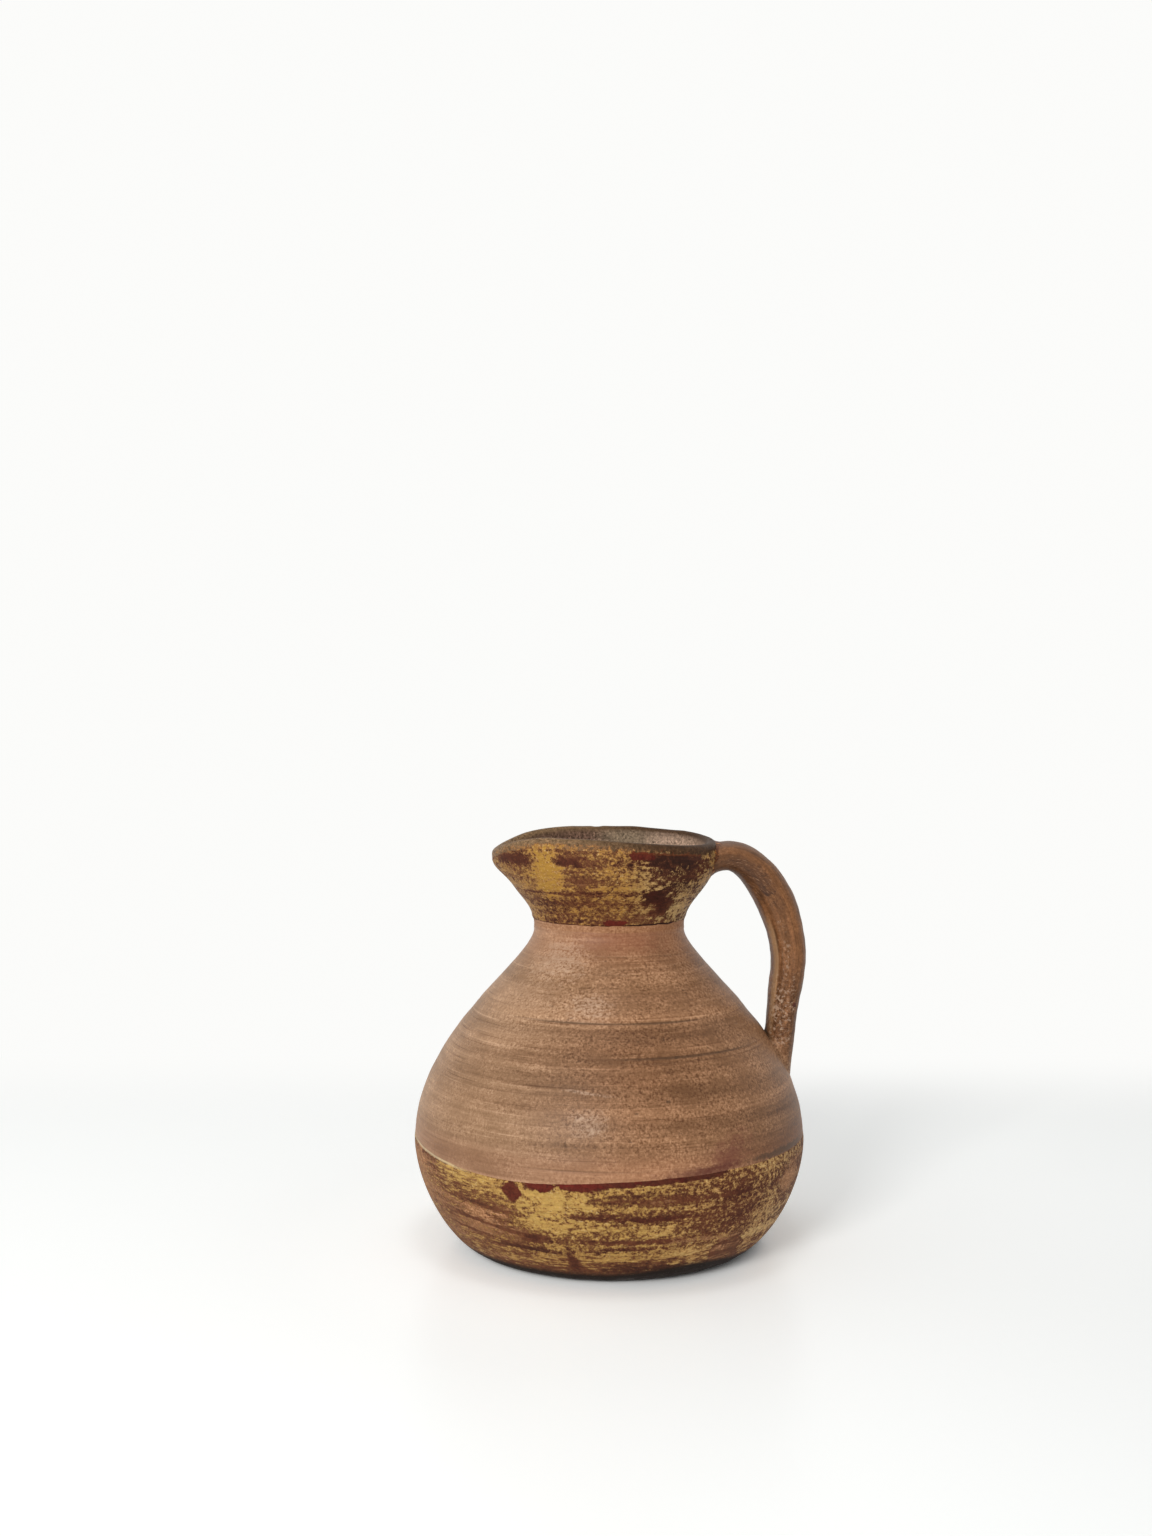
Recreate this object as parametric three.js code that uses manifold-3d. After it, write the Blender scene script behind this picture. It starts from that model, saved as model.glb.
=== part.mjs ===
// A hand-thrown earthenware jug: a squat round body, a flared collar whose lip is pulled
// to a low spout, a strap handle, and two worn gilt bands laid over the clay.
// Millimetres, +Z up. The origin is the centre of the base, with the handle at +X and the spout at -X.

import * as THREE from 'three';
import { mergeVertices } from 'three/addons/utils/BufferGeometryUtils.js';
import Module from 'manifold-3d';

// Thrown body
const FOOT_RADIUS = 47;
const BELLY_RADIUS = 69.2;
const BELLY_HEIGHT = 38;
const NECK_RADIUS = 26.7;
const SHOULDER_HEIGHT = 111;
const BODY_WALL = 5.5;
const NECK_WALL = 4.6;
const FLOOR_THICKNESS = 7;

// How far each curve of the body keeps its first direction, as a share of its span
const FOOT_FULLNESS = 0.4;
const LOWER_BELLY_FULLNESS = 0.445;
const UPPER_BELLY_FULLNESS = 0.48;
const SHOULDER_FULLNESS = 0.143;

// Throwing rings left by the fingers between the belly band and the neck
const RING_PITCH = 10.5;
const RING_DEPTH = 0.35;

// Slip that beds the collar on the shoulder
const SLIP_THICKNESS = 1.2;
const SLIP_BEAD = 0.25;

// Collar and its rolled rim
const COLLAR_HEIGHT = 33.6;
const RIM_RADIUS = 38.6;
const RIM_THICKNESS = 4.4;
const NECK_STRAIGHTNESS = 0.37;
const RIM_STRAIGHTNESS = 0.656;

// Lip pulled down and out to a spout, pinched on both sides, and sunk towards the handle
const PULL_DEPTH = 20;
const SPOUT_REACH = 3.2;
const SPOUT_DIP = 6;
const SPOUT_SPREAD = THREE.MathUtils.degToRad(32);
const PINCH_DEPTH = 0.9;
const PINCH_ANGLE = THREE.MathUtils.degToRad(52);
const PINCH_SPREAD = THREE.MathUtils.degToRad(18);
const RIM_SAG = 3.8;
const RIM_SAG_AZIMUTH = THREE.MathUtils.degToRad(-25);
const RIM_SAG_SPREAD = THREE.MathUtils.degToRad(65);

// Gilt bands
const GILT_THICKNESS = 0.3;
const GILT_CLEARANCE = 0.2;
const BELLY_BAND_FOOT = 1.5;
const BELLY_BAND_TOP = 40;
const NECK_BAND_START = 2.4;
const BARE_LIP = 3.6;

// Strap handle: its centre line leaves the collar, bends over and drops on to the shoulder
const HANDLE_OVERHANG = 1.9;
const HANDLE_ROOT_INSET = 8.6;
const HANDLE_ROOT_DROP = 16.1;
const HANDLE_LIFT_OUT = 16.8;
const HANDLE_LIFT_UP = 20;
const HANDLE_BEND_DROP = 29.7;
const HANDLE_BEND_ARM = 21.2;
const HANDLE_LEG_ARM = 7.2;
const HANDLE_FOOT_HEIGHT = 67;
const HANDLE_FOOT_ARM = 28;
const HANDLE_FOOT_TAIL = 16;

// Strap section at the root, at the bend and at the foot, with a groove along each side
const ROOT_THICKNESS = 9;
const BEND_THICKNESS = 13.6;
const FOOT_THICKNESS = 8.4;
const ROOT_WIDTH = 23;
const BEND_WIDTH = 20;
const FOOT_WIDTH = 17;
const BEND_AT = 0.36;
const STRAP_SQUARENESS = 2.5;
const STRAP_GROOVE = 0.8;
const STRAP_GROOVE_SHARE = 0.3;

// Clay smeared round the ends of the strap
const LUTE_BED = 1.4;
const LUTE_HEIGHT = 1.9;
const LUTE_WIDTH = 1.1;
const LUTE_FADE_AT = 0.84;
const CLEARANCE = 0.3;

// Facets
const TURN_SEGMENTS = 44;
const FOOT_STEPS = 4;
const BAND_STEPS = 8;
const RING_STEPS = 4;
const HOLLOW_STEPS = 16;
const BORE_STEPS = 10;
const FOOT_CROWDING = 2;
const HOLLOW_CROWDING = 1.4;
const STRAP_SIDES = 20;
const STRAP_STEPS = 28;
const LIP_STEPS = 4;
const BISECTIONS = 40;

const COLLAR_BASE = SHOULDER_HEIGHT + SLIP_THICKNESS;
const RIM_HEIGHT = COLLAR_BASE + COLLAR_HEIGHT;
const LIP_RADIUS = RIM_THICKNESS / 2;
const LIP_HEIGHT = RIM_HEIGHT - LIP_RADIUS;
const { lerp, smoothstep } = THREE.MathUtils;

const wasm = await Module();
wasm.setup();

const point = (radius, height) => new THREE.Vector2(radius, height);

// A pot's outline in two curves: foot to belly, and belly to neck
function potOutline(footRadius, bellyRadius, neckRadius, bottom) {
  const lower = new THREE.CubicBezierCurve(
    point(footRadius, bottom),
    point(lerp(footRadius, bellyRadius, FOOT_FULLNESS), bottom),
    point(bellyRadius, lerp(BELLY_HEIGHT, bottom, LOWER_BELLY_FULLNESS)),
    point(bellyRadius, BELLY_HEIGHT),
  );
  const upper = new THREE.CubicBezierCurve(
    point(bellyRadius, BELLY_HEIGHT),
    point(bellyRadius, lerp(BELLY_HEIGHT, SHOULDER_HEIGHT, UPPER_BELLY_FULLNESS)),
    point(neckRadius, lerp(SHOULDER_HEIGHT, BELLY_HEIGHT, SHOULDER_FULLNESS)),
    point(neckRadius, SHOULDER_HEIGHT),
  );
  return (height) => radiusOn(height < BELLY_HEIGHT ? lower : upper, height);
}

// A collar's outline: upright at the neck, flared, and upright again at the rim
function collarOutline(neckRadius, rimRadius) {
  const flare = new THREE.CubicBezierCurve(
    point(neckRadius, COLLAR_BASE),
    point(neckRadius, lerp(COLLAR_BASE, LIP_HEIGHT, NECK_STRAIGHTNESS)),
    point(rimRadius, lerp(LIP_HEIGHT, COLLAR_BASE, RIM_STRAIGHTNESS)),
    point(rimRadius, LIP_HEIGHT),
  );
  return (height) => radiusOn(flare, height);
}

// The radius of a rising curve at a height
function radiusOn(curve, height) {
  let low = 0;
  let high = 1;
  for (let step = 0; step < BISECTIONS; step += 1) {
    const middle = (low + high) / 2;
    if (curve.getPoint(middle).y < height) low = middle;
    else high = middle;
  }
  return curve.getPoint(high).x;
}

// Points of an outline between two heights; an ease above 1 crowds them towards the first
function stretch(outline, from, to, steps, ease = 1) {
  return Array.from({ length: steps + 1 }, (_, step) => {
    const height = lerp(from, to, (step / steps) ** ease);
    return point(outline(height), height);
  });
}

// A row of points moved square to itself, away from the axis
function offset(points, distance) {
  return points.map((here, index) => {
    const before = points[Math.max(index - 1, 0)];
    const after = points[Math.min(index + 1, points.length - 1)];
    const along = after.clone().sub(before).normalize();
    return point(here.x + along.y * distance, here.y - along.x * distance);
  });
}

// A turned form from a profile of radius and height
function turned(profile) {
  return new THREE.LatheGeometry(profile, TURN_SEGMENTS).rotateX(Math.PI / 2);
}

// A thin coat over a row of points, clear of the clay below it
function coat(points) {
  const inside = offset(points, GILT_CLEARANCE);
  const outside = offset(points, GILT_CLEARANCE + GILT_THICKNESS);
  return turned([inside[0], ...outside, ...inside.reverse()]);
}

// A closed geometry as a solid for cutting and joining
function solidOf(geometry) {
  const bare = geometry.clone().deleteAttribute('normal').deleteAttribute('uv');
  const merged = mergeVertices(bare);
  const corners = merged.index.array;
  const triVerts = [];
  for (let first = 0; first < corners.length; first += 3) {
    const [a, b, c] = corners.slice(first, first + 3);
    if (a !== b && b !== c && c !== a) triVerts.push(a, b, c);
  }
  return new wasm.Manifold(new wasm.Mesh({
    numProp: 3,
    vertProperties: new Float32Array(merged.attributes.position.array),
    triVerts: new Uint32Array(triVerts),
  }));
}

// A solid's surface as a geometry
function geometryOf(solid) {
  const { vertProperties, triVerts } = solid.getMesh();
  const geometry = new THREE.BufferGeometry();
  geometry.setAttribute('position', new THREE.BufferAttribute(vertProperties, 3));
  geometry.setIndex(new THREE.BufferAttribute(triVerts, 1));
  geometry.computeVertexNormals();
  return geometry;
}

// The body's outer points, in three runs: below, under and above the belly band
const bodyOutside = potOutline(FOOT_RADIUS, BELLY_RADIUS, NECK_RADIUS, 0);
const bodyInside = potOutline(
  FOOT_RADIUS - BODY_WALL, BELLY_RADIUS - BODY_WALL, NECK_RADIUS - NECK_WALL, FLOOR_THICKNESS,
);
const ringCount = Math.round((SHOULDER_HEIGHT - BELLY_BAND_TOP) / RING_PITCH);
const footRun = stretch(bodyOutside, 0, BELLY_BAND_FOOT, FOOT_STEPS, FOOT_CROWDING);
const bellyRun = stretch(bodyOutside, BELLY_BAND_FOOT, BELLY_BAND_TOP, BAND_STEPS);
const shoulderRun = stretch(ringedShoulder, BELLY_BAND_TOP, SHOULDER_HEIGHT, ringCount * RING_STEPS);

function ringedShoulder(height) {
  const ring = ((height - BELLY_BAND_TOP) / (SHOULDER_HEIGHT - BELLY_BAND_TOP)) * ringCount;
  const groove = (1 - Math.cos(2 * Math.PI * ring)) / 2;
  return bodyOutside(height) - RING_DEPTH * groove;
}

function bodyOuterPoints() {
  return [...footRun, ...bellyRun.slice(1), ...shoulderRun.slice(1)];
}

function thrownBody() {
  const hollow = stretch(bodyInside, FLOOR_THICKNESS, SHOULDER_HEIGHT, HOLLOW_STEPS, HOLLOW_CROWDING);
  return turned([point(0, 0), ...bodyOuterPoints(), ...hollow.reverse(), point(0, FLOOR_THICKNESS)]);
}

// The body without its hollow, grown by a distance
function bodyCore(distance) {
  return solidOf(turned([point(0, 0), ...offset(bodyOuterPoints(), distance), point(0, SHOULDER_HEIGHT)]));
}

function neckLutingRing() {
  const bottom = point(NECK_RADIUS - NECK_WALL, SHOULDER_HEIGHT);
  const top = point(NECK_RADIUS - NECK_WALL, COLLAR_BASE);
  const bead = Array.from({ length: LIP_STEPS + 1 }, (_, step) => {
    const share = step / LIP_STEPS;
    const radius = NECK_RADIUS + SLIP_BEAD * Math.sin(Math.PI * share);
    return point(radius, lerp(SHOULDER_HEIGHT, COLLAR_BASE, share));
  });
  return turned([bottom, ...bead, top, bottom]);
}

// The collar's outer points, in three runs: below, under and above the neck band
const collarOutside = collarOutline(NECK_RADIUS, RIM_RADIUS);
const collarInside = collarOutline(NECK_RADIUS - NECK_WALL, RIM_RADIUS - RIM_THICKNESS);
const neckRun = stretch(collarOutside, COLLAR_BASE, COLLAR_BASE + NECK_BAND_START, 1);
const flareRun = stretch(collarOutside, COLLAR_BASE + NECK_BAND_START, RIM_HEIGHT - BARE_LIP, BAND_STEPS);
const rimRun = stretch(collarOutside, RIM_HEIGHT - BARE_LIP, LIP_HEIGHT, 1);

// The rolled rim between two angles, from 0 on its outside over the top to half a turn on its inside
function rolledRim(from, to) {
  const middle = RIM_RADIUS - LIP_RADIUS;
  return Array.from({ length: LIP_STEPS + 1 }, (_, step) => {
    const angle = lerp(from, to, step / LIP_STEPS);
    return point(middle + LIP_RADIUS * Math.cos(angle), LIP_HEIGHT + LIP_RADIUS * Math.sin(angle));
  });
}

function collarOuterPoints() {
  const outerRim = rolledRim(0, Math.PI / 2);
  return [...neckRun, ...flareRun.slice(1), ...rimRun.slice(1), ...outerRim.slice(1)];
}

// The lip's pull on a form turned round the axis: out and down at the spout, in beside it,
// and down towards the handle; points on the axis stay
function pullLip(geometry) {
  const position = geometry.attributes.position;
  const bell = (angle, spread) => Math.exp(-((angle / spread) ** 2));
  for (let index = 0; index < position.count; index += 1) {
    const [x, y, z] = [position.getX(index), position.getY(index), position.getZ(index)];
    const radius = Math.hypot(x, y);
    const azimuth = Math.atan2(y, x);
    const fromSpout = Math.PI - Math.abs(azimuth);
    const pull = radius > 0 ? smoothstep(z, RIM_HEIGHT - PULL_DEPTH, LIP_HEIGHT) : 0;
    const spout = bell(fromSpout, SPOUT_SPREAD);
    const pinch = bell(fromSpout - PINCH_ANGLE, PINCH_SPREAD);
    const sag = bell(azimuth - RIM_SAG_AZIMUTH, RIM_SAG_SPREAD);
    const outward = pull * (SPOUT_REACH * spout - PINCH_DEPTH * pinch);
    const downward = pull * (SPOUT_DIP * spout + RIM_SAG * sag);
    position.setXYZ(
      index,
      x + outward * Math.cos(azimuth),
      y + outward * Math.sin(azimuth),
      z - downward,
    );
  }
  geometry.computeVertexNormals();
  return geometry;
}

function neckCollar() {
  const outer = collarOuterPoints();
  const innerRim = rolledRim(Math.PI / 2, Math.PI);
  const bore = stretch(collarInside, COLLAR_BASE, LIP_HEIGHT, BORE_STEPS).reverse();
  return pullLip(turned([...outer, ...innerRim.slice(1), ...bore.slice(1), outer[0]]));
}

// The collar without its bore, grown by a distance
function collarCore(distance) {
  const outer = offset(collarOuterPoints(), distance);
  return solidOf(pullLip(turned([point(0, COLLAR_BASE), ...outer, point(0, RIM_HEIGHT)])));
}

// The strap's centre line in the plane of the handle
function handlePath() {
  const inPlane = (radius, height) => new THREE.Vector3(radius, 0, height);
  const reach = BELLY_RADIUS + HANDLE_OVERHANG - BEND_THICKNESS / 2;
  const rootRadius = RIM_RADIUS - HANDLE_ROOT_INSET;
  const rootHeight = RIM_HEIGHT - HANDLE_ROOT_DROP;
  const bendHeight = rootHeight - HANDLE_BEND_DROP;
  const footRadius = bodyOutside(HANDLE_FOOT_HEIGHT);
  const tailHeight = HANDLE_FOOT_HEIGHT - HANDLE_FOOT_TAIL;
  const path = new THREE.CurvePath();
  path.add(new THREE.CubicBezierCurve3(
    inPlane(rootRadius, rootHeight),
    inPlane(rootRadius + HANDLE_LIFT_OUT, rootHeight + HANDLE_LIFT_UP),
    inPlane(reach, bendHeight + HANDLE_BEND_ARM),
    inPlane(reach, bendHeight),
  ));
  path.add(new THREE.CubicBezierCurve3(
    inPlane(reach, bendHeight),
    inPlane(reach, bendHeight - HANDLE_LEG_ARM),
    inPlane(footRadius, tailHeight + HANDLE_FOOT_ARM),
    inPlane(footRadius, tailHeight),
  ));
  return path;
}

// A size of the strap that changes from its root over its bend to its foot
function taper(share, root, bend, foot) {
  if (share < BEND_AT) return lerp(root, bend, smoothstep(share, 0, BEND_AT));
  return lerp(bend, foot, (share - BEND_AT) / (1 - BEND_AT));
}

// The strap swept along its centre line, grown on all sides by a distance for each share of its length
function strap(growth) {
  const path = handlePath();
  const sideways = new THREE.Vector3(0, 1, 0);
  const sweep = new THREE.CylinderGeometry(1, 1, 1, STRAP_SIDES, STRAP_STEPS);
  const position = sweep.attributes.position;
  for (let index = 0; index < position.count; index += 1) {
    const share = 0.5 - position.getY(index);
    const [across, aside] = [position.getX(index), position.getZ(index)];
    const corner = Math.abs(across) ** STRAP_SQUARENESS + Math.abs(aside) ** STRAP_SQUARENESS;
    const round = corner > 0 ? corner ** (-1 / STRAP_SQUARENESS) : 0;
    const thickness = taper(share, ROOT_THICKNESS, BEND_THICKNESS, FOOT_THICKNESS) / 2 + growth(share);
    const groove = STRAP_GROOVE * Math.exp(-((across / STRAP_GROOVE_SHARE) ** 2));
    const width = taper(share, ROOT_WIDTH, BEND_WIDTH, FOOT_WIDTH) / 2 - groove + growth(share);
    const inward = sideways.clone().cross(path.getTangentAt(share));
    const place = path.getPointAt(share)
      .addScaledVector(inward, across * round * thickness)
      .addScaledVector(sideways, aside * round * width);
    position.setXYZ(index, place.x, place.y, place.z);
  }
  return solidOf(sweep);
}

function strapHandle() {
  return geometryOf(strap(() => 0).subtract(bodyCore(LUTE_BED)).subtract(collarCore(LUTE_BED)));
}

// How far the smeared clay spreads round the strap; it thins out towards the tail of the foot
const smearSpread = (share) => LUTE_WIDTH * (1 - smoothstep(share, LUTE_FADE_AT, 1));

// A smear of clay round one end of the strap, with a thin bed under the strap's cut end
function luting(core) {
  const smear = strap(smearSpread).intersect(core(LUTE_HEIGHT)).subtract(core(CLEARANCE));
  const seat = strap(() => CLEARANCE).subtract(core(LUTE_BED - CLEARANCE));
  return geometryOf(smear.subtract(seat));
}

function neckGiltBand() {
  const handleNotch = strap(() => LUTE_WIDTH + CLEARANCE);
  return geometryOf(solidOf(pullLip(coat(flareRun))).subtract(handleNotch));
}

const bareClay = () => new THREE.MeshStandardMaterial({ color: 0x9a6c52, roughness: 0.75, metalness: 0 });
const handleClay = () => new THREE.MeshStandardMaterial({ color: 0x96613f, roughness: 0.7, metalness: 0 });
const wornGilding = () => new THREE.MeshStandardMaterial({ color: 0x94702c, roughness: 0.5, metalness: 0.6 });

function piece(name, geometry, material) {
  const mesh = new THREE.Mesh(geometry, material);
  mesh.name = name;
  return mesh;
}

const jug = new THREE.Group();
jug.add(
  piece('thrown_body', thrownBody(), bareClay()),
  piece('neck_luting_ring', neckLutingRing(), bareClay()),
  piece('neck_collar', neckCollar(), bareClay()),
  piece('strap_handle', strapHandle(), handleClay()),
  piece('handle_top_luting', luting(collarCore), handleClay()),
  piece('handle_foot_luting', luting(bodyCore), handleClay()),
  piece('belly_gilt_band', coat(bellyRun), wornGilding()),
  piece('neck_gilt_band', neckGiltBand(), wornGilding()),
);

export default jug;
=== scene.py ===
# A hand-thrown clay jug with a pulled lip, a strap handle and worn gilt bands, on a white table

from math import atan2, cos, exp, hypot, pi, radians, remainder, sin, sqrt

import bmesh
import bpy
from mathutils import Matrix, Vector, noise


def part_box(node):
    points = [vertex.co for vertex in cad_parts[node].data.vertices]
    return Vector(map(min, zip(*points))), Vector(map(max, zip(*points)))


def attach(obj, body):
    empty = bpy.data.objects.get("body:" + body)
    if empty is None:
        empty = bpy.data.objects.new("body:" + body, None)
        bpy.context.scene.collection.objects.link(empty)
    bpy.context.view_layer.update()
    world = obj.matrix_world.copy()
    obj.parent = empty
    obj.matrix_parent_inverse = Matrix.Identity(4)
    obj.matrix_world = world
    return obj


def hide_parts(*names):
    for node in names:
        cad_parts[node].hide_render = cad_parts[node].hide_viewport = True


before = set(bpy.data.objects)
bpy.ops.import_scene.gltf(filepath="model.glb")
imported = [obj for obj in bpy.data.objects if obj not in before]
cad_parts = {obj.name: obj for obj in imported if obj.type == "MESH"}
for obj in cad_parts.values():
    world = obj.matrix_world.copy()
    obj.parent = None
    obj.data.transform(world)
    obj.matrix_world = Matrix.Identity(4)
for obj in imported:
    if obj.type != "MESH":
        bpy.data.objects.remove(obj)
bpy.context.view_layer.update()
noise.seed_set(8)

MM = 0.001
MERGE = 0.001 * MM

# Thrown body, as the frame gives its height and girth
_, body_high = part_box("thrown_body")
BELLY_RADIUS = body_high.x
SHOULDER_HEIGHT = body_high.z
FOOT_RADIUS = 47 * MM
BELLY_HEIGHT = 38 * MM
NECK_RADIUS = 26.7 * MM
BODY_WALL = 5.5 * MM
NECK_WALL = 4.6 * MM
FLOOR_THICKNESS = 7 * MM
FOOT_FULLNESS = 0.4
LOWER_BELLY_FULLNESS = 0.445
UPPER_BELLY_FULLNESS = 0.48
SHOULDER_FULLNESS = 0.143

# Throwing rings on the shoulder: height, depth and half width of each groove in millimetres, and the
# turn from the front, in degrees, at which it is deepest, with how far it spreads
THROWING_RINGS = (
    (104.5, 0.16, 0.5, 20, 45),
    (99.9, 0.26, 1.3, 15, 60),
    (98.9, 0.2, 0.4, 12, 26),
    (92.2, 0.22, 2.0, 20, 60),
    (86.6, -0.28, 1.3, 0, 90),
    (84.7, 0.5, 0.4, 2, 30),
    (81.6, 0.38, 2.2, 0, 90),
    (77.6, -0.16, 1.6, 20, 80),
    (74.7, 0.3, 0.4, 24, 34),
    (73.4, 0.18, 0.35, 14, 24),
    (64, 0.24, 2.4, 20, 70),
    (59.5, -0.14, 1.6, 0, 80),
    (54.5, 0.24, 2.6, 30, 60),
    (46, 0.2, 1.8, 0, 80),
    (41.4, 0.16, 0.45, -30, 40),
)
FINE_RING = 0.6
RING_SLANT = 0.5 * MM
RING_SLANT_TURN = 1.9
RING_WORN = 0.15
RING_AT_BACK = 0.6
GROOVE_SHADE_DEPTH = 0.28 * MM
BROAD_DEPTH = 0.3 * MM
WOBBLE = 0.3 * MM
DENTS = 0.05 * MM
FIRM_FOOT = 9 * MM

# Collar and its rolled rim, as the frame gives its foot
collar_low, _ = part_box("neck_collar")
COLLAR_BASE = collar_low.z
COLLAR_HEIGHT = 33.6 * MM
RIM_RADIUS = 38.6 * MM
RIM_THICKNESS = 4.4 * MM
NECK_STRAIGHTNESS = 0.37
RIM_STRAIGHTNESS = 0.656
RIM_HEIGHT = COLLAR_BASE + COLLAR_HEIGHT
LIP_RADIUS = RIM_THICKNESS / 2
LIP_HEIGHT = RIM_HEIGHT - LIP_RADIUS

# Lip pulled to a spout at -X, pinched beside it, and sunk towards the handle
PULL_DEPTH = 20 * MM
SPOUT_REACH = 3.2 * MM
SPOUT_DIP = 6 * MM
SPOUT_SPREAD = radians(32)
PINCH_DEPTH = 0.9 * MM
PINCH_ANGLE = radians(52)
PINCH_SPREAD = radians(18)
RIM_SAG = 3.8 * MM
RIM_SAG_AZIMUTH = radians(-25)
RIM_SAG_SPREAD = radians(65)
RIM_CHIP_AZIMUTH = radians(96)
RIM_CHIP_SPREAD = radians(2.5)
RIM_CHIP_DEPTH = 0.35 * MM
RIM_RUBBED = 0.1 * MM
RIM_RIPPLE = 0.45 * MM
RIM_SPREAD = 0.12
ROLL_STEPS = 16

# Gilt bands
_, belly_band_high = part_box("belly_gilt_band")
BELLY_BAND_FOOT = 1.5 * MM
BELLY_BAND_TOP = belly_band_high.z
NECK_BAND_FOOT = COLLAR_BASE + 2.4 * MM
NECK_BAND_TOP = RIM_HEIGHT - 3.6 * MM
BELLY_BAND = (BELLY_BAND_FOOT, BELLY_BAND_TOP)
NECK_BAND = (NECK_BAND_FOOT, NECK_BAND_TOP)
GILT_PROUD = 0.2 * MM
GILT_ROOT = 0.5 * MM
GILT_EDGE = 0.05 * MM
NECK_BAND_RADIUS = 34 * MM
BAND_DIP = 3.1 * MM
BAND_DIP_AZIMUTH = radians(-118)
BAND_DIP_SPREAD = radians(38)
BAND_DIP_REACH = 14 * MM
EDGE_WAVER = 0.35 * MM
EDGE_REACH = 3 * MM
CRUST = 0.35 * MM
CRUST_FOOT = 0.7 * MM

# Strap handle
HANDLE_OVERHANG = 1.9 * MM
HANDLE_ROOT_INSET = 8.6 * MM
HANDLE_ROOT_DROP = 16.1 * MM
HANDLE_LIFT_OUT = 16.8 * MM
HANDLE_LIFT_UP = 20 * MM
HANDLE_BEND_DROP = 29.7 * MM
HANDLE_BEND_ARM = 21.2 * MM
HANDLE_LEG_ARM = 7.2 * MM
HANDLE_FOOT_HEIGHT = 67 * MM
HANDLE_FOOT_ARM = 28 * MM
HANDLE_FOOT_TAIL = 16 * MM
ROOT_THICKNESS = 9 * MM
BEND_THICKNESS = 13.6 * MM
FOOT_THICKNESS = 8.4 * MM
ROOT_WIDTH = 23 * MM
BEND_WIDTH = 20 * MM
FOOT_WIDTH = 17 * MM
BEND_AT = 0.36
STRAP_SQUARENESS = 2.5
STRAP_HOLLOW = 0.6 * MM
STRAP_HOLLOW_SPREAD = 0.3
STRAP_GROOVE = 0.7 * MM
STRAP_GROOVE_SPREAD = 0.08
STRAP_GROOVE_SHIFT = 0.64
END_DEPTH = 1.4 * MM
KNEADED = 0.35 * MM
PRESSED = 0.12 * MM
ROOT_SEARCH = (0, 0.3)
FOOT_SEARCH = (1, 0.6)

# Clay smeared round both ends of the strap
SMEAR_UP_STRAP = 3 * MM
SMEAR_ON_WALL = 1.6 * MM
SMEAR_SINK = 0.25 * MM
SMEAR_ROOT = 0.8 * MM
SMEAR_CURVE_STEPS = 8

# Table under the jug
TABLE_HALF = 6
TABLE_GAP = 0.02 * MM

# Fineness of the meshes
TURNS = 152
BISECTIONS = 26
GILT_STEPS = 66
SHARP_ANGLE = radians(50)
STRAP_SIDES = 96
STRAP_STEPS = 150
STRAP_ANGLES = [2 * pi * side / STRAP_SIDES for side in range(STRAP_SIDES)]


def mix(first, second, share):
    return first + (second - first) * share


def smoothstep(value, low, high):
    share = min(max((value - low) / (high - low), 0), 1)
    return share * share * (3 - 2 * share)


def azimuth_of(place):
    return atan2(place.y, place.x)


def around(azimuth, height):
    return Vector((cos(azimuth), sin(azimuth), height))


def bell(offset, spread):
    return exp(-((offset / spread) ** 2))


def on_curve(curve, share):
    rest = 1 - share
    start, leaving, arriving, end = (Vector(corner) for corner in curve)
    bent = start * rest**3 + leaving * (3 * rest**2 * share)
    return bent + arriving * (3 * rest * share**2) + end * share**3


def curve_points(curve, steps):
    return [on_curve(curve, step / steps) for step in range(steps + 1)]


# The far end of a range, closed in on where a test stops holding
def closed_in(start, end, holds):
    for _ in range(BISECTIONS):
        middle = (start + end) / 2
        if holds(middle):
            start = middle
        else:
            end = middle
    return end


def radius_on(curve, height):
    return on_curve(curve, closed_in(0.0, 1.0, lambda share: on_curve(curve, share)[1] < height))[0]


# A curve that leaves one place upright and reaches another upright, by its hold on each
def upright(start, end, leaving, arriving):
    low, high = start[1], end[1]
    return start, (start[0], mix(low, high, leaving)), (end[0], mix(high, low, arriving)), end


# Outlines of the pot and of the collar
def pot_curves(foot, belly, neck, bottom):
    lower = (
        (foot, bottom),
        (mix(foot, belly, FOOT_FULLNESS), bottom),
        (belly, mix(BELLY_HEIGHT, bottom, LOWER_BELLY_FULLNESS)),
        (belly, BELLY_HEIGHT),
    )
    top = (neck, SHOULDER_HEIGHT)
    return lower, upright(lower[-1], top, UPPER_BELLY_FULLNESS, SHOULDER_FULLNESS)


def collar_curve(neck, rim):
    return upright((neck, COLLAR_BASE), (rim, LIP_HEIGHT), NECK_STRAIGHTNESS, RIM_STRAIGHTNESS)


BODY_OUTSIDE = pot_curves(FOOT_RADIUS, BELLY_RADIUS, NECK_RADIUS, 0)
BODY_INSIDE = pot_curves(
    FOOT_RADIUS - BODY_WALL, BELLY_RADIUS - BODY_WALL, NECK_RADIUS - NECK_WALL, FLOOR_THICKNESS
)
COLLAR_OUTSIDE = collar_curve(NECK_RADIUS, RIM_RADIUS)
COLLAR_INSIDE = collar_curve(NECK_RADIUS - NECK_WALL, RIM_RADIUS - RIM_THICKNESS)


def body_radius(height):
    return radius_on(BODY_OUTSIDE[0] if height < BELLY_HEIGHT else BODY_OUTSIDE[1], height)


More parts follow.
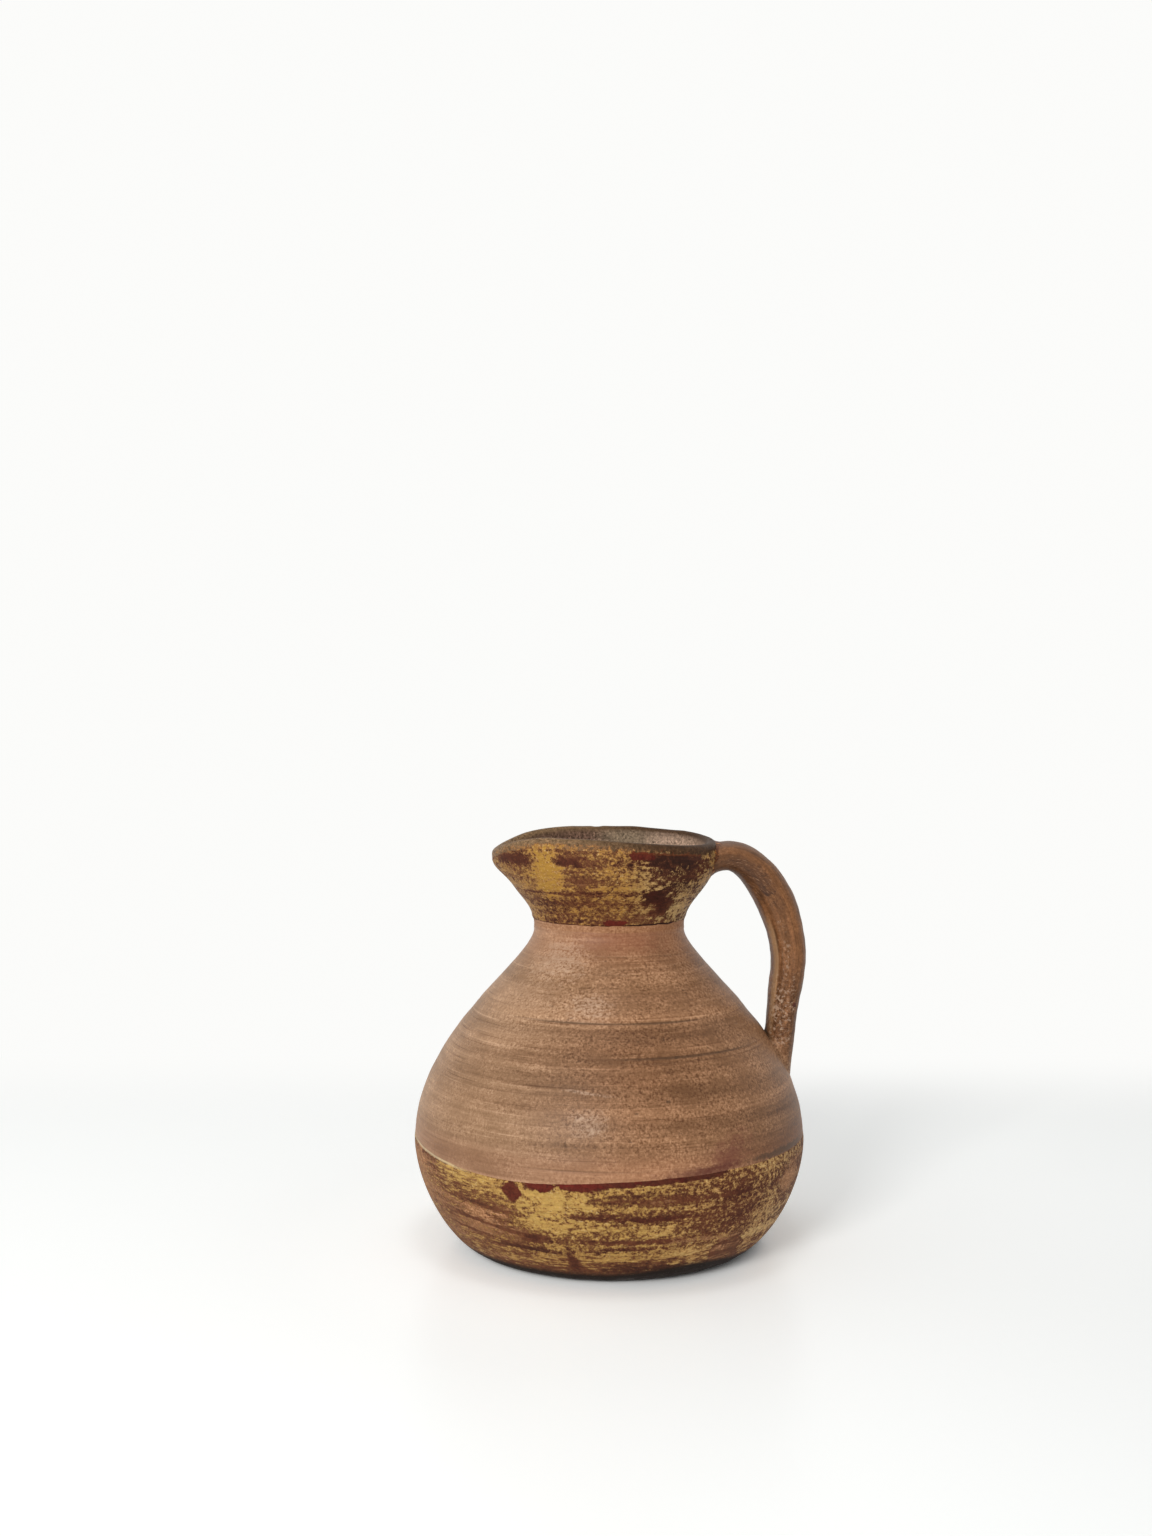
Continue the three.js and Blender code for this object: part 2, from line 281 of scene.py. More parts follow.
def lip_pull(azimuth, height):
    pull = smoothstep(height, RIM_HEIGHT - PULL_DEPTH, LIP_HEIGHT)
    from_spout = pi - abs(azimuth)
    spout = bell(from_spout, SPOUT_SPREAD)
    pinch = bell(from_spout - PINCH_ANGLE, PINCH_SPREAD)
    sag = bell(azimuth - RIM_SAG_AZIMUTH, RIM_SAG_SPREAD)
    outward = pull * (SPOUT_REACH * spout - PINCH_DEPTH * pinch)
    downward = pull * (SPOUT_DIP * spout + RIM_SAG * sag)
    return outward, downward


def pulled(place):
    azimuth = azimuth_of(place)
    outward, downward = lip_pull(azimuth, place.z)
    return place + Vector((outward * cos(azimuth), outward * sin(azimuth), -downward))


# The collar's outer radius, after the pull, at a height and an azimuth
def collar_radius(height, azimuth):
    level = closed_in(COLLAR_BASE, LIP_HEIGHT, lambda high: high - lip_pull(azimuth, high)[1] < height)
    return neck_radius(level) + lip_pull(azimuth, level)[0]


# The unevenness of hand work: the same at the same place for every piece
def handled(place):
    firm = smoothstep(place.z, 0, FIRM_FOOT)
    slow = noise.noise_vector(place * 24) * WOBBLE
    quick = noise.noise_vector(place * 130) * DENTS
    return place + (slow + quick) * firm


# How much of a ring is left at an azimuth; some comes back behind
def ring_stroke(azimuth, turn, spread):
    off = remainder(azimuth - radians(turn - 90), 2 * pi)
    left = bell(off, radians(spread)) + RING_AT_BACK * bell(abs(off) - pi, 1.0)
    return mix(RING_WORN, 1, left)


# The depth of the rings at a place, how far it is in a fine one or, below 0, on its edge, and how far in
# the hollow of a broad one or, below 0, on its ridge; from these the body's colour takes painted shade in
# grooves and hollows and a painted highlight on edges and ridges
def ring_depth(azimuth, height):
    level = height + RING_SLANT * sin(azimuth + RING_SLANT_TURN)
    depth = 0
    fine = 0
    broad = 0
    for height_mm, groove_mm, half_mm, turn, spread in THROWING_RINGS:
        ring = height_mm * MM
        half = half_mm * MM
        if abs(level - ring) < 4 * half:
            uneven = 0.8 + 0.8 * noise.noise(around(azimuth, ring * 250) * 1.6)
            stroke = ring_stroke(azimuth, turn, spread) * uneven * (groove_mm * MM)
            within = bell(level - ring, half)
            depth += stroke * within
            if half_mm < FINE_RING:
                edge = bell(level - ring + 2.2 * half, half)
                fine += stroke * (within - 0.4 * edge) / GROOVE_SHADE_DEPTH
            else:
                broad += stroke * within / BROAD_DEPTH
    return depth, fine, broad


def outwards(place, distance):
    flat = Vector((place.x, place.y, 0))
    return place + flat.normalized() * distance if flat.length > MERGE else place


# What every corner keeps: how far along its piece, how deep in a groove, how far across
MEASURES = ("along", "groove", "across")


def measures(blank):
    return [blank.verts.layers.float[name] for name in MEASURES]


# A form turned round the axis from points of radius, height and share along the profile
def turned(profile, turns, closed=False):
    blank = bmesh.new()
    for name in MEASURES:
        blank.verts.layers.float.new(name)
    along = measures(blank)[0]
    ring = []
    for radius, height, share in profile:
        corner = blank.verts.new((radius, 0, height))
        corner[along] = share
        ring.append(corner)
    pairs = list(zip(ring, ring[1:]))
    if closed:
        pairs.append((ring[-1], ring[0]))
    edges = [blank.edges.new(pair) for pair in pairs]
    spin = {"cent": (0, 0, 0), "axis": (0, 0, 1), "dvec": (0, 0, 0), "angle": 2 * pi}
    bmesh.ops.spin(blank, geom=ring + edges, steps=turns, use_merge=True, use_duplicate=False, **spin)
    bmesh.ops.remove_doubles(blank, verts=blank.verts, dist=MERGE)
    return blank


def shared(points, first, last):
    count = len(points) - 1
    return [(p[0], p[1], mix(first, last, index / count)) for index, p in enumerate(points)]


def finished(name, blank, material, node):
    bmesh.ops.recalc_face_normals(blank, faces=blank.faces)
    for face in blank.faces:
        face.smooth = True
    mesh = bpy.data.meshes.new(name)
    blank.to_mesh(mesh)
    blank.free()
    mesh.set_sharp_from_angle(angle=SHARP_ANGLE)
    mesh.materials.append(material)
    piece = bpy.data.objects.new(name, mesh)
    bpy.context.scene.collection.objects.link(piece)
    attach(piece, "root")
    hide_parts(node)


def thrown_body(material):
    outer = curve_points(BODY_OUTSIDE[0], 80) + curve_points(BODY_OUTSIDE[1], 350)[1:]
    inner = curve_points(BODY_INSIDE[0], 24) + curve_points(BODY_INSIDE[1], 40)[1:]
    under = [(0, 0), (FOOT_RADIUS * 0.5, 0), (FOOT_RADIUS * 0.9, 0)]
    profile = shared(under, 0, 0) + shared(outer, 0, 1) + shared(inner[::-1], 1.1, 2)
    blank = turned(profile + [(0, FLOOR_THICKNESS, 2)], TURNS)
    along, groove, across = measures(blank)
    for corner in blank.verts:
        place = corner.co.copy()
        if corner[along] <= 1 and place.z > BELLY_BAND_TOP:
            depth, corner[groove], corner[across] = ring_depth(azimuth_of(place), place.z)
            place = outwards(place, -depth)
        corner.co = handled(place)
    finished("body", blank, material, "thrown_body")


def neck_luting(material):
    bulge = 0.04 * MM
    bore = NECK_RADIUS - NECK_WALL
    outside = [
        (NECK_RADIUS - 0.5 * MM, SHOULDER_HEIGHT - 0.6 * MM),
        (NECK_RADIUS + bulge, SHOULDER_HEIGHT),
        (NECK_RADIUS + bulge * 2, (SHOULDER_HEIGHT + COLLAR_BASE) / 2),
        (NECK_RADIUS + bulge, COLLAR_BASE),
        (NECK_RADIUS - 0.5 * MM, COLLAR_BASE + 0.6 * MM),
    ]
    inside = [
        (bore + 0.3 * MM, COLLAR_BASE + 0.4 * MM),
        (bore - 0.1 * MM, COLLAR_BASE),
        (bore - 0.1 * MM, SHOULDER_HEIGHT),
        (bore + 0.3 * MM, SHOULDER_HEIGHT - 0.4 * MM),
    ]
    blank = turned(shared(outside, 0, 1) + shared(inside, 1, 2), TURNS, closed=True)
    for corner in blank.verts:
        corner.co = handled(corner.co)
    finished("neck_luting", blank, material, "neck_luting_ring")


# Collar with its rolled, pulled and chipped lip; along runs 0 to 1 outside and 1 to 2 inside
def neck_collar(material):
    middle = RIM_RADIUS - LIP_RADIUS
    roll = []
    for step in range(1, ROLL_STEPS):
        angle = pi * step / ROLL_STEPS
        roll.append((middle + LIP_RADIUS * cos(angle), LIP_HEIGHT + LIP_RADIUS * sin(angle)))
    outer = curve_points(COLLAR_OUTSIDE, 80)
    inner = curve_points(COLLAR_INSIDE, 40)[::-1]
    profile = shared(outer, 0, 0.9) + shared(roll, 0.91, 1.1) + shared(inner, 1.11, 2)
    blank = turned(profile, TURNS, closed=True)
    along = measures(blank)[0]
    for corner in blank.verts:
        azimuth = azimuth_of(corner.co)
        place = handled(pulled(corner.co))
        lip = bell(corner[along] - 1, RIM_SPREAD)
        ripple = RIM_RIPPLE * noise.noise(around(azimuth, 0.4) * 3.1)
        chip = RIM_CHIP_DEPTH * bell(azimuth - RIM_CHIP_AZIMUTH, RIM_CHIP_SPREAD)
        place.z += lip * (min(ripple, 0) - chip - RIM_RUBBED)
        corner.co = place
    finished("collar", blank, material, "neck_collar")


# A thin coat over a run of an outline, thinnest at its edges
def gilt_coat(radius_at, foot, top):
    heights = [mix(foot, top, step / GILT_STEPS) for step in range(GILT_STEPS + 1)]
    points = [Vector((radius_at(height), height)) for height in heights]
    outside = []
    inside = []
    for index, here in enumerate(points):
        along = points[min(index + 1, GILT_STEPS)] - points[max(index - 1, 0)]
        square = Vector((along.y, -along.x)).normalized()
        edge = min(index, GILT_STEPS - index, 3) / 3
        outside.append(here + square * mix(GILT_EDGE, GILT_PROUD, edge))
        if index % 3 == 0:
            inside.append(here - square * GILT_ROOT)
    return shared(outside, 0, 1) + shared(inside[::-1], 1, 0)


def wavered_edges(place, foot, top):
    turn = Vector((place.x, place.y, 0)).normalized()
    near_top = smoothstep(place.z, top - EDGE_REACH, top)
    near_foot = 1 - smoothstep(place.z, foot, foot + EDGE_REACH)
    upper = noise.noise(turn * 4.3) + 0.5 * noise.noise(turn * 17)
    lower = noise.noise(turn * 6.1 + Vector((0, 0, 3))) + 0.6 * noise.noise(turn * 31)
    return place + Vector((0, 0, EDGE_WAVER * (near_top * (upper - 1) + near_foot * lower)))


# The belly band as it was brushed on: its upper edge dips on the side of the spout
def dipped(place):
    off = remainder(azimuth_of(place) - BAND_DIP_AZIMUTH, 2 * pi)
    near_top = smoothstep(place.z, BELLY_BAND_TOP - BAND_DIP_REACH, BELLY_BAND_TOP)
    lower = place - Vector((0, 0, BAND_DIP * bell(off, BAND_DIP_SPREAD) * near_top))
    return outwards(lower, body_radius(lower.z) - body_radius(place.z))


# The neck band as it lies on the pulled collar, crusty at its foot and towards the handle
def crusted(place):
    crumb = 0.5 + 0.5 * noise.noise(place * 900)
    foot = bell(place.z - NECK_BAND_FOOT - CRUST_FOOT, CRUST_FOOT)
    crust = CRUST * crumb * max(foot, 0.8 * smoothstep(place.x, 8 * MM, 24 * MM))
    return pulled(outwards(place, crust))


def neck_radius(height):
    return radius_on(COLLAR_OUTSIDE, height)


def gilt_band(name, node, material, radius_at, edges, laid):
    blank = turned(gilt_coat(radius_at, *edges), TURNS, closed=True)
    for corner in blank.verts:
        corner.co = handled(laid(wavered_edges(corner.co, *edges)))
    finished(name, blank, material, node)


# The strap's centre line, in the plane of the handle
REACH = BELLY_RADIUS + HANDLE_OVERHANG - BEND_THICKNESS / 2 - 0.1 * MM
ROOT_RADIUS = RIM_RADIUS - HANDLE_ROOT_INSET
ROOT_HEIGHT = RIM_HEIGHT - HANDLE_ROOT_DROP
BEND_HEIGHT = ROOT_HEIGHT - HANDLE_BEND_DROP
HANDLE_FOOT_RADIUS = body_radius(HANDLE_FOOT_HEIGHT)
TAIL_HEIGHT = HANDLE_FOOT_HEIGHT - HANDLE_FOOT_TAIL
HANDLE_BEND = (
    (ROOT_RADIUS, ROOT_HEIGHT),
    (ROOT_RADIUS + HANDLE_LIFT_OUT, ROOT_HEIGHT + HANDLE_LIFT_UP),
    (REACH, BEND_HEIGHT + HANDLE_BEND_ARM),
    (REACH, BEND_HEIGHT),
)
HANDLE_LEG = (
    (REACH, BEND_HEIGHT),
    (REACH, BEND_HEIGHT - HANDLE_LEG_ARM),
    (HANDLE_FOOT_RADIUS, TAIL_HEIGHT + HANDLE_FOOT_ARM),
    (HANDLE_FOOT_RADIUS, TAIL_HEIGHT),
)


def even_steps(points, count):
    lengths = [0]
    for before, after in zip(points, points[1:]):
        lengths.append(lengths[-1] + (after - before).length)
    spread = []
    index = 0
    for step in range(count + 1):
        reach = lengths[-1] * step / count
        while index < len(points) - 2 and lengths[index + 1] < reach:
            index += 1
        share = (reach - lengths[index]) / (lengths[index + 1] - lengths[index])
        spread.append(points[index].lerp(points[index + 1], share))
    return spread, lengths[-1]


HANDLE_LINE, HANDLE_LENGTH = even_steps(
    curve_points(HANDLE_BEND, 200) + curve_points(HANDLE_LEG, 200)[1:], 400
)


def handle_line(share):
    place = min(max(share, 0), 1) * (len(HANDLE_LINE) - 1)
    index = min(int(place), len(HANDLE_LINE) - 2)
    here = HANDLE_LINE[index].lerp(HANDLE_LINE[index + 1], place - index)
    ahead = HANDLE_LINE[min(index + 3, len(HANDLE_LINE) - 1)] - HANDLE_LINE[max(index - 2, 0)]
    return here, ahead.normalized()


def strap_middle(share):
    here, _ = handle_line(share)
    return Vector((here[0], 0, here[1]))


def taper(share, root, bend, foot):
    if share < BEND_AT:
        return mix(root, bend, smoothstep(share, 0, BEND_AT))
    return mix(bend, foot, (share - BEND_AT) / (1 - BEND_AT))


# The crisp groove along the strap, nearer to its inner edge
def strap_groove(share, angle):
    here = bell(cos(angle) - STRAP_GROOVE_SHIFT, STRAP_GROOVE_SPREAD)
    return here * smoothstep(share, 0.16, 0.3) * (1 - smoothstep(share, 0.62, 0.78))


# A place on the strap: the share of its length, the angle round its section and how full it is
def on_strap(share, angle, fullness=1.0):
    across, aside = cos(angle), sin(angle)
    corner = abs(across) ** STRAP_SQUARENESS + abs(aside) ** STRAP_SQUARENESS
    rounding = corner ** (-1 / STRAP_SQUARENESS) * fullness
    thickness = taper(share, ROOT_THICKNESS, BEND_THICKNESS, FOOT_THICKNESS) / 2
    hollow = STRAP_HOLLOW * bell(across, STRAP_HOLLOW_SPREAD)
    hollow *= smoothstep(share, 0.02, 0.2) * (1 - smoothstep(share, 0.72, 0.9))
    groove = STRAP_GROOVE * strap_groove(share, angle)
    width = taper(share, ROOT_WIDTH, BEND_WIDTH, FOOT_WIDTH) / 2 - hollow - groove
    here, ahead = handle_line(share)
    inward = across * rounding * thickness
    return Vector((here[0] + ahead[1] * inward, aside * rounding * width, here[1] - ahead[0] * inward))


def above_collar(place):
    azimuth = azimuth_of(place)
    radius = collar_radius(min(place.z, LIP_HEIGHT), azimuth)
    rise = place.z - LIP_HEIGHT + lip_pull(azimuth, LIP_HEIGHT)[1]
    if rise > 0:
        radius -= LIP_RADIUS - sqrt(max(LIP_RADIUS**2 - rise**2, 0))
    return hypot(place.x, place.y) - radius


def above_body(place):
    return hypot(place.x, place.y) - body_radius(min(place.z, SHOULDER_HEIGHT))


# The share of the strap's length at which one line along it comes within a depth of the wall
def strap_end(angle, wall, depth, search):
    return closed_in(*search, lambda share: wall(on_strap(share, angle)) < depth)


def strap_side(place):
    angle = azimuth_of(place) % (2 * pi)
    return angle, round(angle / (2 * pi) * STRAP_SIDES) % STRAP_SIDES


def strap_handle(material):
    starts = [strap_end(angle, above_collar, -END_DEPTH, ROOT_SEARCH) for angle in STRAP_ANGLES]
    ends = [strap_end(angle, above_body, -END_DEPTH, FOOT_SEARCH) for angle in STRAP_ANGLES]
    profile = [(0, 0, 0)] + [(1, step, step / STRAP_STEPS) for step in range(STRAP_STEPS + 1)]
    blank = turned(profile + [(0, STRAP_STEPS, 1)], STRAP_SIDES)
    along, groove, across = measures(blank)
    for corner in blank.verts:
        if corner.co.xy.length < 0.5:
            end = starts if corner[along] < 0.5 else ends
            corner.co = handled(strap_middle(sum(end) / STRAP_SIDES))
            continue
        angle, side = strap_side(corner.co)
        share = mix(starts[side], ends[side], corner[along])
        place = on_strap(share, angle)
        knead = KNEADED * noise.noise(place * 95) + PRESSED * noise.noise(place * 330)
        out = (place - strap_middle(share)).normalized()
        corner.co = handled(place + out * knead)
        corner[along] = share
        corner[groove] = strap_groove(share, angle)
        corner[across] = cos(angle)
    finished("handle", blank, material, "strap_handle")


# A fillet of smeared clay round one end of the strap
def luting(name, node, wall, search, material):
    inner, outer = search
    up_strap = SMEAR_UP_STRAP / HANDLE_LENGTH if outer > inner else -SMEAR_UP_STRAP / HANDLE_LENGTH
    steps = SMEAR_CURVE_STEPS
    profile = [(1, index, index / steps) for index in range(steps + 2)]
    blank = turned(profile, STRAP_SIDES, closed=True)
    across = measures(blank)[2]
    loops = []
    for angle in STRAP_ANGLES:
        waver = 1 + 0.5 * noise.noise(around(angle, inner) * 2.3)
        meeting = strap_end(angle, wall, 0, search)
        on_side = on_strap(meeting + up_strap * waver, angle, 0.985)
        corner = on_strap(meeting, angle, 1.0)
        away = (corner - strap_middle(meeting)).normalized()
        on_wall = corner + away * SMEAR_ON_WALL * waver
        on_wall = outwards(on_wall, -wall(on_wall) - SMEAR_SINK)
        loop = []
        for step in range(steps + 1):
            share = step / steps
            rest = 1 - share
            loop.append(on_side * rest**2 + corner * (2 * rest * share) + on_wall * share**2)
        loop.append(outwards(on_strap(meeting, angle, 0.85), -SMEAR_ROOT))
        loops.append(loop)
    for corner in blank.verts:
        angle, side = strap_side(corner.co)
        corner[across] = cos(angle)
        corner.co = handled(loops[side][round(corner.co.z)])
    finished(name, blank, material, node)


# A number, a place or a colour in a shader; plain arithmetic with it adds the nodes
class Flow:
    def __init__(self, socket):
        self.socket = socket
        self.tree = socket.id_data

    def __add__(self, other):
        return number("ADD", self, other)

    def __sub__(self, other):
        return number("SUBTRACT", self, other)

    def __mul__(self, other):
        return number("MULTIPLY", self, other)

    def __truediv__(self, other):
        return number("DIVIDE", self, other)

    def __pow__(self, other):
        return number("POWER", self, other)


def link(value, socket):
    value.tree.links.new(value.socket, socket)


def fill(sockets, values):
    for name, value in values.items():
        if isinstance(value, Flow):
            link(value, sockets[name])
        else:
            sockets[name].default_value = value


def add_node(tree, kind, inputs=None, **settings):
    made = tree.nodes.new("ShaderNode" + kind)
    for name, value in settings.items():
        setattr(made, name, value)
    fill(made.inputs, inputs or {})
    return made


def flows(node):
    return {output.name: Flow(output) for output in node.outputs}


# What comes out of a new node in the tree of its inputs
def flow(kind, inputs, output=0, **settings):
    tree = next(value.tree for value in inputs.values() if isinstance(value, Flow))
    return Flow(add_node(tree, kind, inputs, **settings).outputs[output])


def number(operation, first, second=0.0):
    return flow("Math", {0: first, 1: second}, operation=operation)


def blend(share, first, second, way="MIX"):
    inputs = {0: share, 6: first, 7: second}
    return flow("Mix", inputs, 2, data_type="RGBA", blend_type=way)


def tinted(share, color, tint):
    return blend(share, color, tint, "MULTIPLY")


def ramp(value, low, high):
    inputs = {"Value": value, "From Min": low, "From Max": high}
    return flow("MapRange", inputs, interpolation_type="SMOOTHSTEP")


def grain(place, scale, detail=2.0, roughness=0.5):
    inputs = {"Vector": place, "Scale": scale, "Detail": detail, "Roughness": roughness}
    return flow("TexNoise", inputs)


# Noise at one scale round the axis and another along it
def drawn_out(place, round_scale, height_scale, shift, detail, roughness):
    return grain(stretched(place, round_scale, height_scale, shift), 1, detail, roughness)


def stretched(place, round_scale, height_scale, shift=0.0):
    inputs = {"Vector": place, "Location": (shift, shift, shift)}
    inputs["Scale"] = (round_scale, round_scale, height_scale)
    return flow("Mapping", inputs)


def object_place(tree):
    return flows(add_node(tree, "TexCoord"))["Object"]


def parts_of(place):
    return list(flows(add_node(place.tree, "SeparateXYZ", {0: place})).values())


def length_of(place):
    return flow("VectorMath", {0: place}, "Value", operation="LENGTH")


# A group of nodes: its inputs with their defaults, and its outputs, of which Color alone is a colour
def new_group(name, inputs, outputs):
    tree = bpy.data.node_groups.new(name, "ShaderNodeTree")
    for socket, value in inputs.items():
        kind = "NodeSocketFloat" if isinstance(value, float) else "NodeSocketColor"
        tree.interface.new_socket(socket, in_out="INPUT", socket_type=kind).default_value = value
    for socket in outputs:
        kind = "NodeSocketColor" if socket == "Color" else "NodeSocketFloat"
        tree.interface.new_socket(socket, in_out="OUTPUT", socket_type=kind)
    entry = tree.nodes.new("NodeGroupInput")
    leave = tree.nodes.new("NodeGroupOutput")
    return tree, flows(entry), leave.inputs


def use_group(tree, group, inputs):
    return flows(add_node(tree, "Group", inputs, node_tree=group))


# Turn from the front towards the handle, in radians, height above the table, and a torn-edge noise
def jug_place_group():
    tree, _, leave = new_group("jug place", {}, ("Turn", "Height", "Torn"))
    place = object_place(tree)
    aside, depth, height = parts_of(place)
    torn = (grain(stretched(place, 1, 1.6), 380, 6, 0.75) - 0.5) * 4.0
    fill(leave, {"Turn": number("ARCTAN2", aside, depth * -1.0), "Height": height, "Torn": torn})
    return tree


JUG_PLACE = jug_place_group()


# A spot on a surface with two measures, squarish or pointed, slanted if asked, its edge torn or soft
SPOT_INPUTS = ("First", "Second", "Torn", "First middle", "Second middle", "First half", "Second half")
SPOT_INPUTS += ("Slant", "Ragged", "Soft", "Square")


def spot_group():
    tree, entry, leave = new_group("spot", dict.fromkeys(SPOT_INPUTS, 0.0), ("Mask",))
    sideways = (entry["First"] - entry["First middle"]) / entry["First half"]
    upwards = (entry["Second"] - entry["Second middle"]) / entry["Second half"]
    upwards = sideways * entry["Slant"] + upwards
    sideways = number("ABSOLUTE", sideways) ** entry["Square"]
    upwards = number("ABSOLUTE", upwards) ** entry["Square"]
    distance = (sideways + upwards) ** number("DIVIDE", 1.0, entry["Square"])
    distance = entry["Torn"] * entry["Ragged"] + distance
    inner = number("SUBTRACT", 1.0, entry["Soft"])
    link(ramp(distance, entry["Soft"] + 1.0, inner), leave["Mask"])
    return tree


SPOT = spot_group()


def spot(surface, middle, half, slant=0.0, ragged=0.7, soft=0.6, square=3.0):
    values = (*surface, *middle, *half, slant, ragged, soft, square)
    return use_group(surface[0].tree, SPOT, dict(zip(SPOT_INPUTS, values)))["Mask"]


# A spot on the jug: turn in degrees, the rest in millimetres, on a form of a given radius
def jug_spot(surface, place, radius=BELLY_RADIUS, **edge):
    turn, height, half_width, half_height = place
    half = (half_width * MM / radius, half_height * MM)
    return spot(surface, (radians(turn), height * MM), half, **edge)


def jug_surface(tree):
    return tuple(use_group(tree, JUG_PLACE, {}).values())


TAN = (0.395, 0.225, 0.126, 1)
DEEP_TAN = (0.24, 0.128, 0.064, 1)
PINK = (0.41, 0.2, 0.115, 1)
SMOKE = (0.56, 0.5, 0.44, 1)
# Dark of real pits and crusts, also used as painted shade in the strap's groove and in the crease at its
# foot
DIRT_AND_SHADE = (0.055, 0.028, 0.013, 1)
# Near black of the painted shade round the foot
FOOT_SHADE = (0.009, 0.004, 0.002, 1)
# Pale grey of the painted sheen on the body
PAINTED_SHEEN = (0.5, 0.34, 0.24, 1)
DULL_GOLD = (0.36, 0.19, 0.057, 1)
BRIGHT_GOLD = (0.47, 0.29, 0.083, 1)
GOUGED = (0.06, 0.026, 0.014, 1)
ROOM_WHITE = (0.97, 0.97, 0.955, 1)

# Fired clay: clouded, streaked by the wheel, speckled and pitted; Shade is its light and dark alone
def fired_clay_group():
    inputs = {"Pale": TAN, "Deep": DEEP_TAN, "Streaked": 1.0, "Speckled": 1.0}
    outputs = ("Color", "Shade", "Roughness", "Relief")
    tree, entry, leave = new_group("fired clay", inputs, outputs)
    place = object_place(tree)
    cloud = grain(place, 24, 2, 0.5)
    mottle = grain(stretched(place, 1, 1.8), 110, 4, 0.6)
    wheel = drawn_out(place, 6, 150, 0, 4, 0.6)
    band = drawn_out(place, 14, 480, 5, 4, 0.65)
    hair = drawn_out(place, 22, 1900, 3, 2, 0.5)
    fleck = grain(place, 1100, 3, 0.75)
    pit = drawn_out(place, 300, 620, 7, 3, 0.6)
    pull = (wheel * 0.6 + band * 0.5 - 0.55) * entry["Streaked"]
    tone = cloud * 0.6 + mottle * 0.4 + pull
    color = blend(ramp(tone, 0.3, 0.7), entry["Deep"], entry["Pale"])
    clusters = (mottle * 3.2 - 0.6) * entry["Speckled"]
    lined = ramp(band, 0.4, 0.6) * entry["Streaked"] * 0.9
    pale = ramp(hair, 0.58, 0.72) * lined + ramp(fleck, 0.52, 0.62) * clusters
    dark = ramp(hair, 0.42, 0.28) * lined + ramp(fleck, 0.48, 0.37) * clusters
    color = tinted(pale, color, (1.5, 1.62, 1.8, 1))
    color = tinted(dark, color, (0.52, 0.44, 0.37, 1))
    shade = pale * 0.45 + (dark * -0.4 + 1.0)
    pits = ramp(pit, 0.67, 0.74) * entry["Speckled"]
    color = blend(pits * 0.7, color, (0.07, 0.036, 0.018, 1))
    relief = hair * 0.5 + fleck * 0.6 + wheel * 1.2 + band * 0.8 + mottle * 0.6 - pits * 0.8
    fill(leave, {"Color": color, "Shade": shade, "Roughness": fleck * 0.35 + 0.32, "Relief": relief})
    return tree


FIRED_CLAY = fired_clay_group()


# Worn gilding: crumbs of gold on a brown to maroon ground, which lets the clay through in places
def worn_gilding_group():
    inputs = {"Clay": TAN, "Dull": DULL_GOLD, "Bright": BRIGHT_GOLD}
    inputs.update({"Gold left": 0.0, "Ground": 0.0, "Red": 0.0, "Brushed": 0.0, "Haze": 0.3, "Dotted": 0.5})
    outputs = ("Color", "Metallic", "Roughness", "Relief")
    tree, entry, leave = new_group("worn gilding", inputs, outputs)
    place = object_place(tree)
    line = drawn_out(place, 13, 420, 0, 4, 0.6)
    hair = drawn_out(place, 45, 1500, 2, 3, 0.6)
    patch = grain(place, 52, 3, 0.6)
    crumb = grain(stretched(place, 1, 1.25), 700, 5, 0.8)
    dots = grain(stretched(place, 1, 1.1, 0.3), 1250, 3, 0.7)
    dash = drawn_out(place, 240, 1300, 4, 4, 0.8)
    broken = (dash - crumb) * entry["Brushed"] + crumb
    flake = grain(stretched(place, 1, 1.7, 8), 250, 4, 0.7)
    field = broken * 1.5 + line * 0.45 + flake * 0.45 + patch * 0.3 + hair * 0.15
    field = field - 0.92 + entry["Gold left"]
    haze = ramp(field, 0.34, 0.47) * entry["Haze"]
    gold = ramp(field, 0.48, 0.515)
    bright = ramp(field, 0.54, 0.76)
    depth = drawn_out(place, 26, 260, 5, 4, 0.65)
    depth = patch * 0.35 + depth * 0.65 + entry["Ground"]
    color = blend(ramp(depth, 0.4, 0.48), entry["Clay"], (0.118, 0.041, 0.018, 1))
    color = blend(ramp(depth, 0.56, 0.68), color, (0.066, 0.021, 0.0105, 1))
    color = blend(ramp(depth, 0.74, 0.86), color, (0.029, 0.011, 0.0065, 1))
    color = blend(entry["Red"], color, (0.11, 0.013, 0.008, 1))
    color = tinted(1, color, crumb * 2.6 - 0.3)
    color = blend(haze, color, (0.24, 0.097, 0.037, 1))
    leaf = blend(bright, entry["Dull"], entry["Bright"])
    leaf = tinted(1, leaf, dash * 1.2 + 0.4)
    leaf = blend(ramp(dots, 0.58, 0.66) * 0.5, leaf, (0.62, 0.45, 0.22, 1))
    dotted = ramp(dots, 0.46, 0.36) * number("SUBTRACT", 1.1, bright)
    leaf = blend(dotted * entry["Dotted"], leaf, (0.085, 0.028, 0.013, 1))
    fill(leave, {"Color": blend(gold, color, leaf), "Metallic": gold * 0.2})
    fill(leave, {"Roughness": gold * -0.12 + 0.62, "Relief": gold * 0.5 + crumb * 0.7 + hair * 0.5})
    return tree


WORN_GILDING = worn_gilding_group()


# A material whose shader is painted by a function
def material_of(name, paint, *details):
    material = bpy.data.materials.new(name)
    material.use_nodes = True
    tree = material.node_tree
    paint(tree, tree.nodes["Principled BSDF"], *details)
    return material


def surfaced(shader, color, grained, depth, gloss):
    relief = {"Height": grained["Relief"], "Distance": depth, "Strength": 1.0}
    inputs = {"Base Color": color, "Roughness": grained["Roughness"], "Specular IOR Level": gloss}
    inputs["Normal"] = flow("Bump", relief)
    fill(shader.inputs, inputs)


def vertex_value(tree, name):
    return flows(add_node(tree, "Attribute", attribute_name=name))["Fac"]


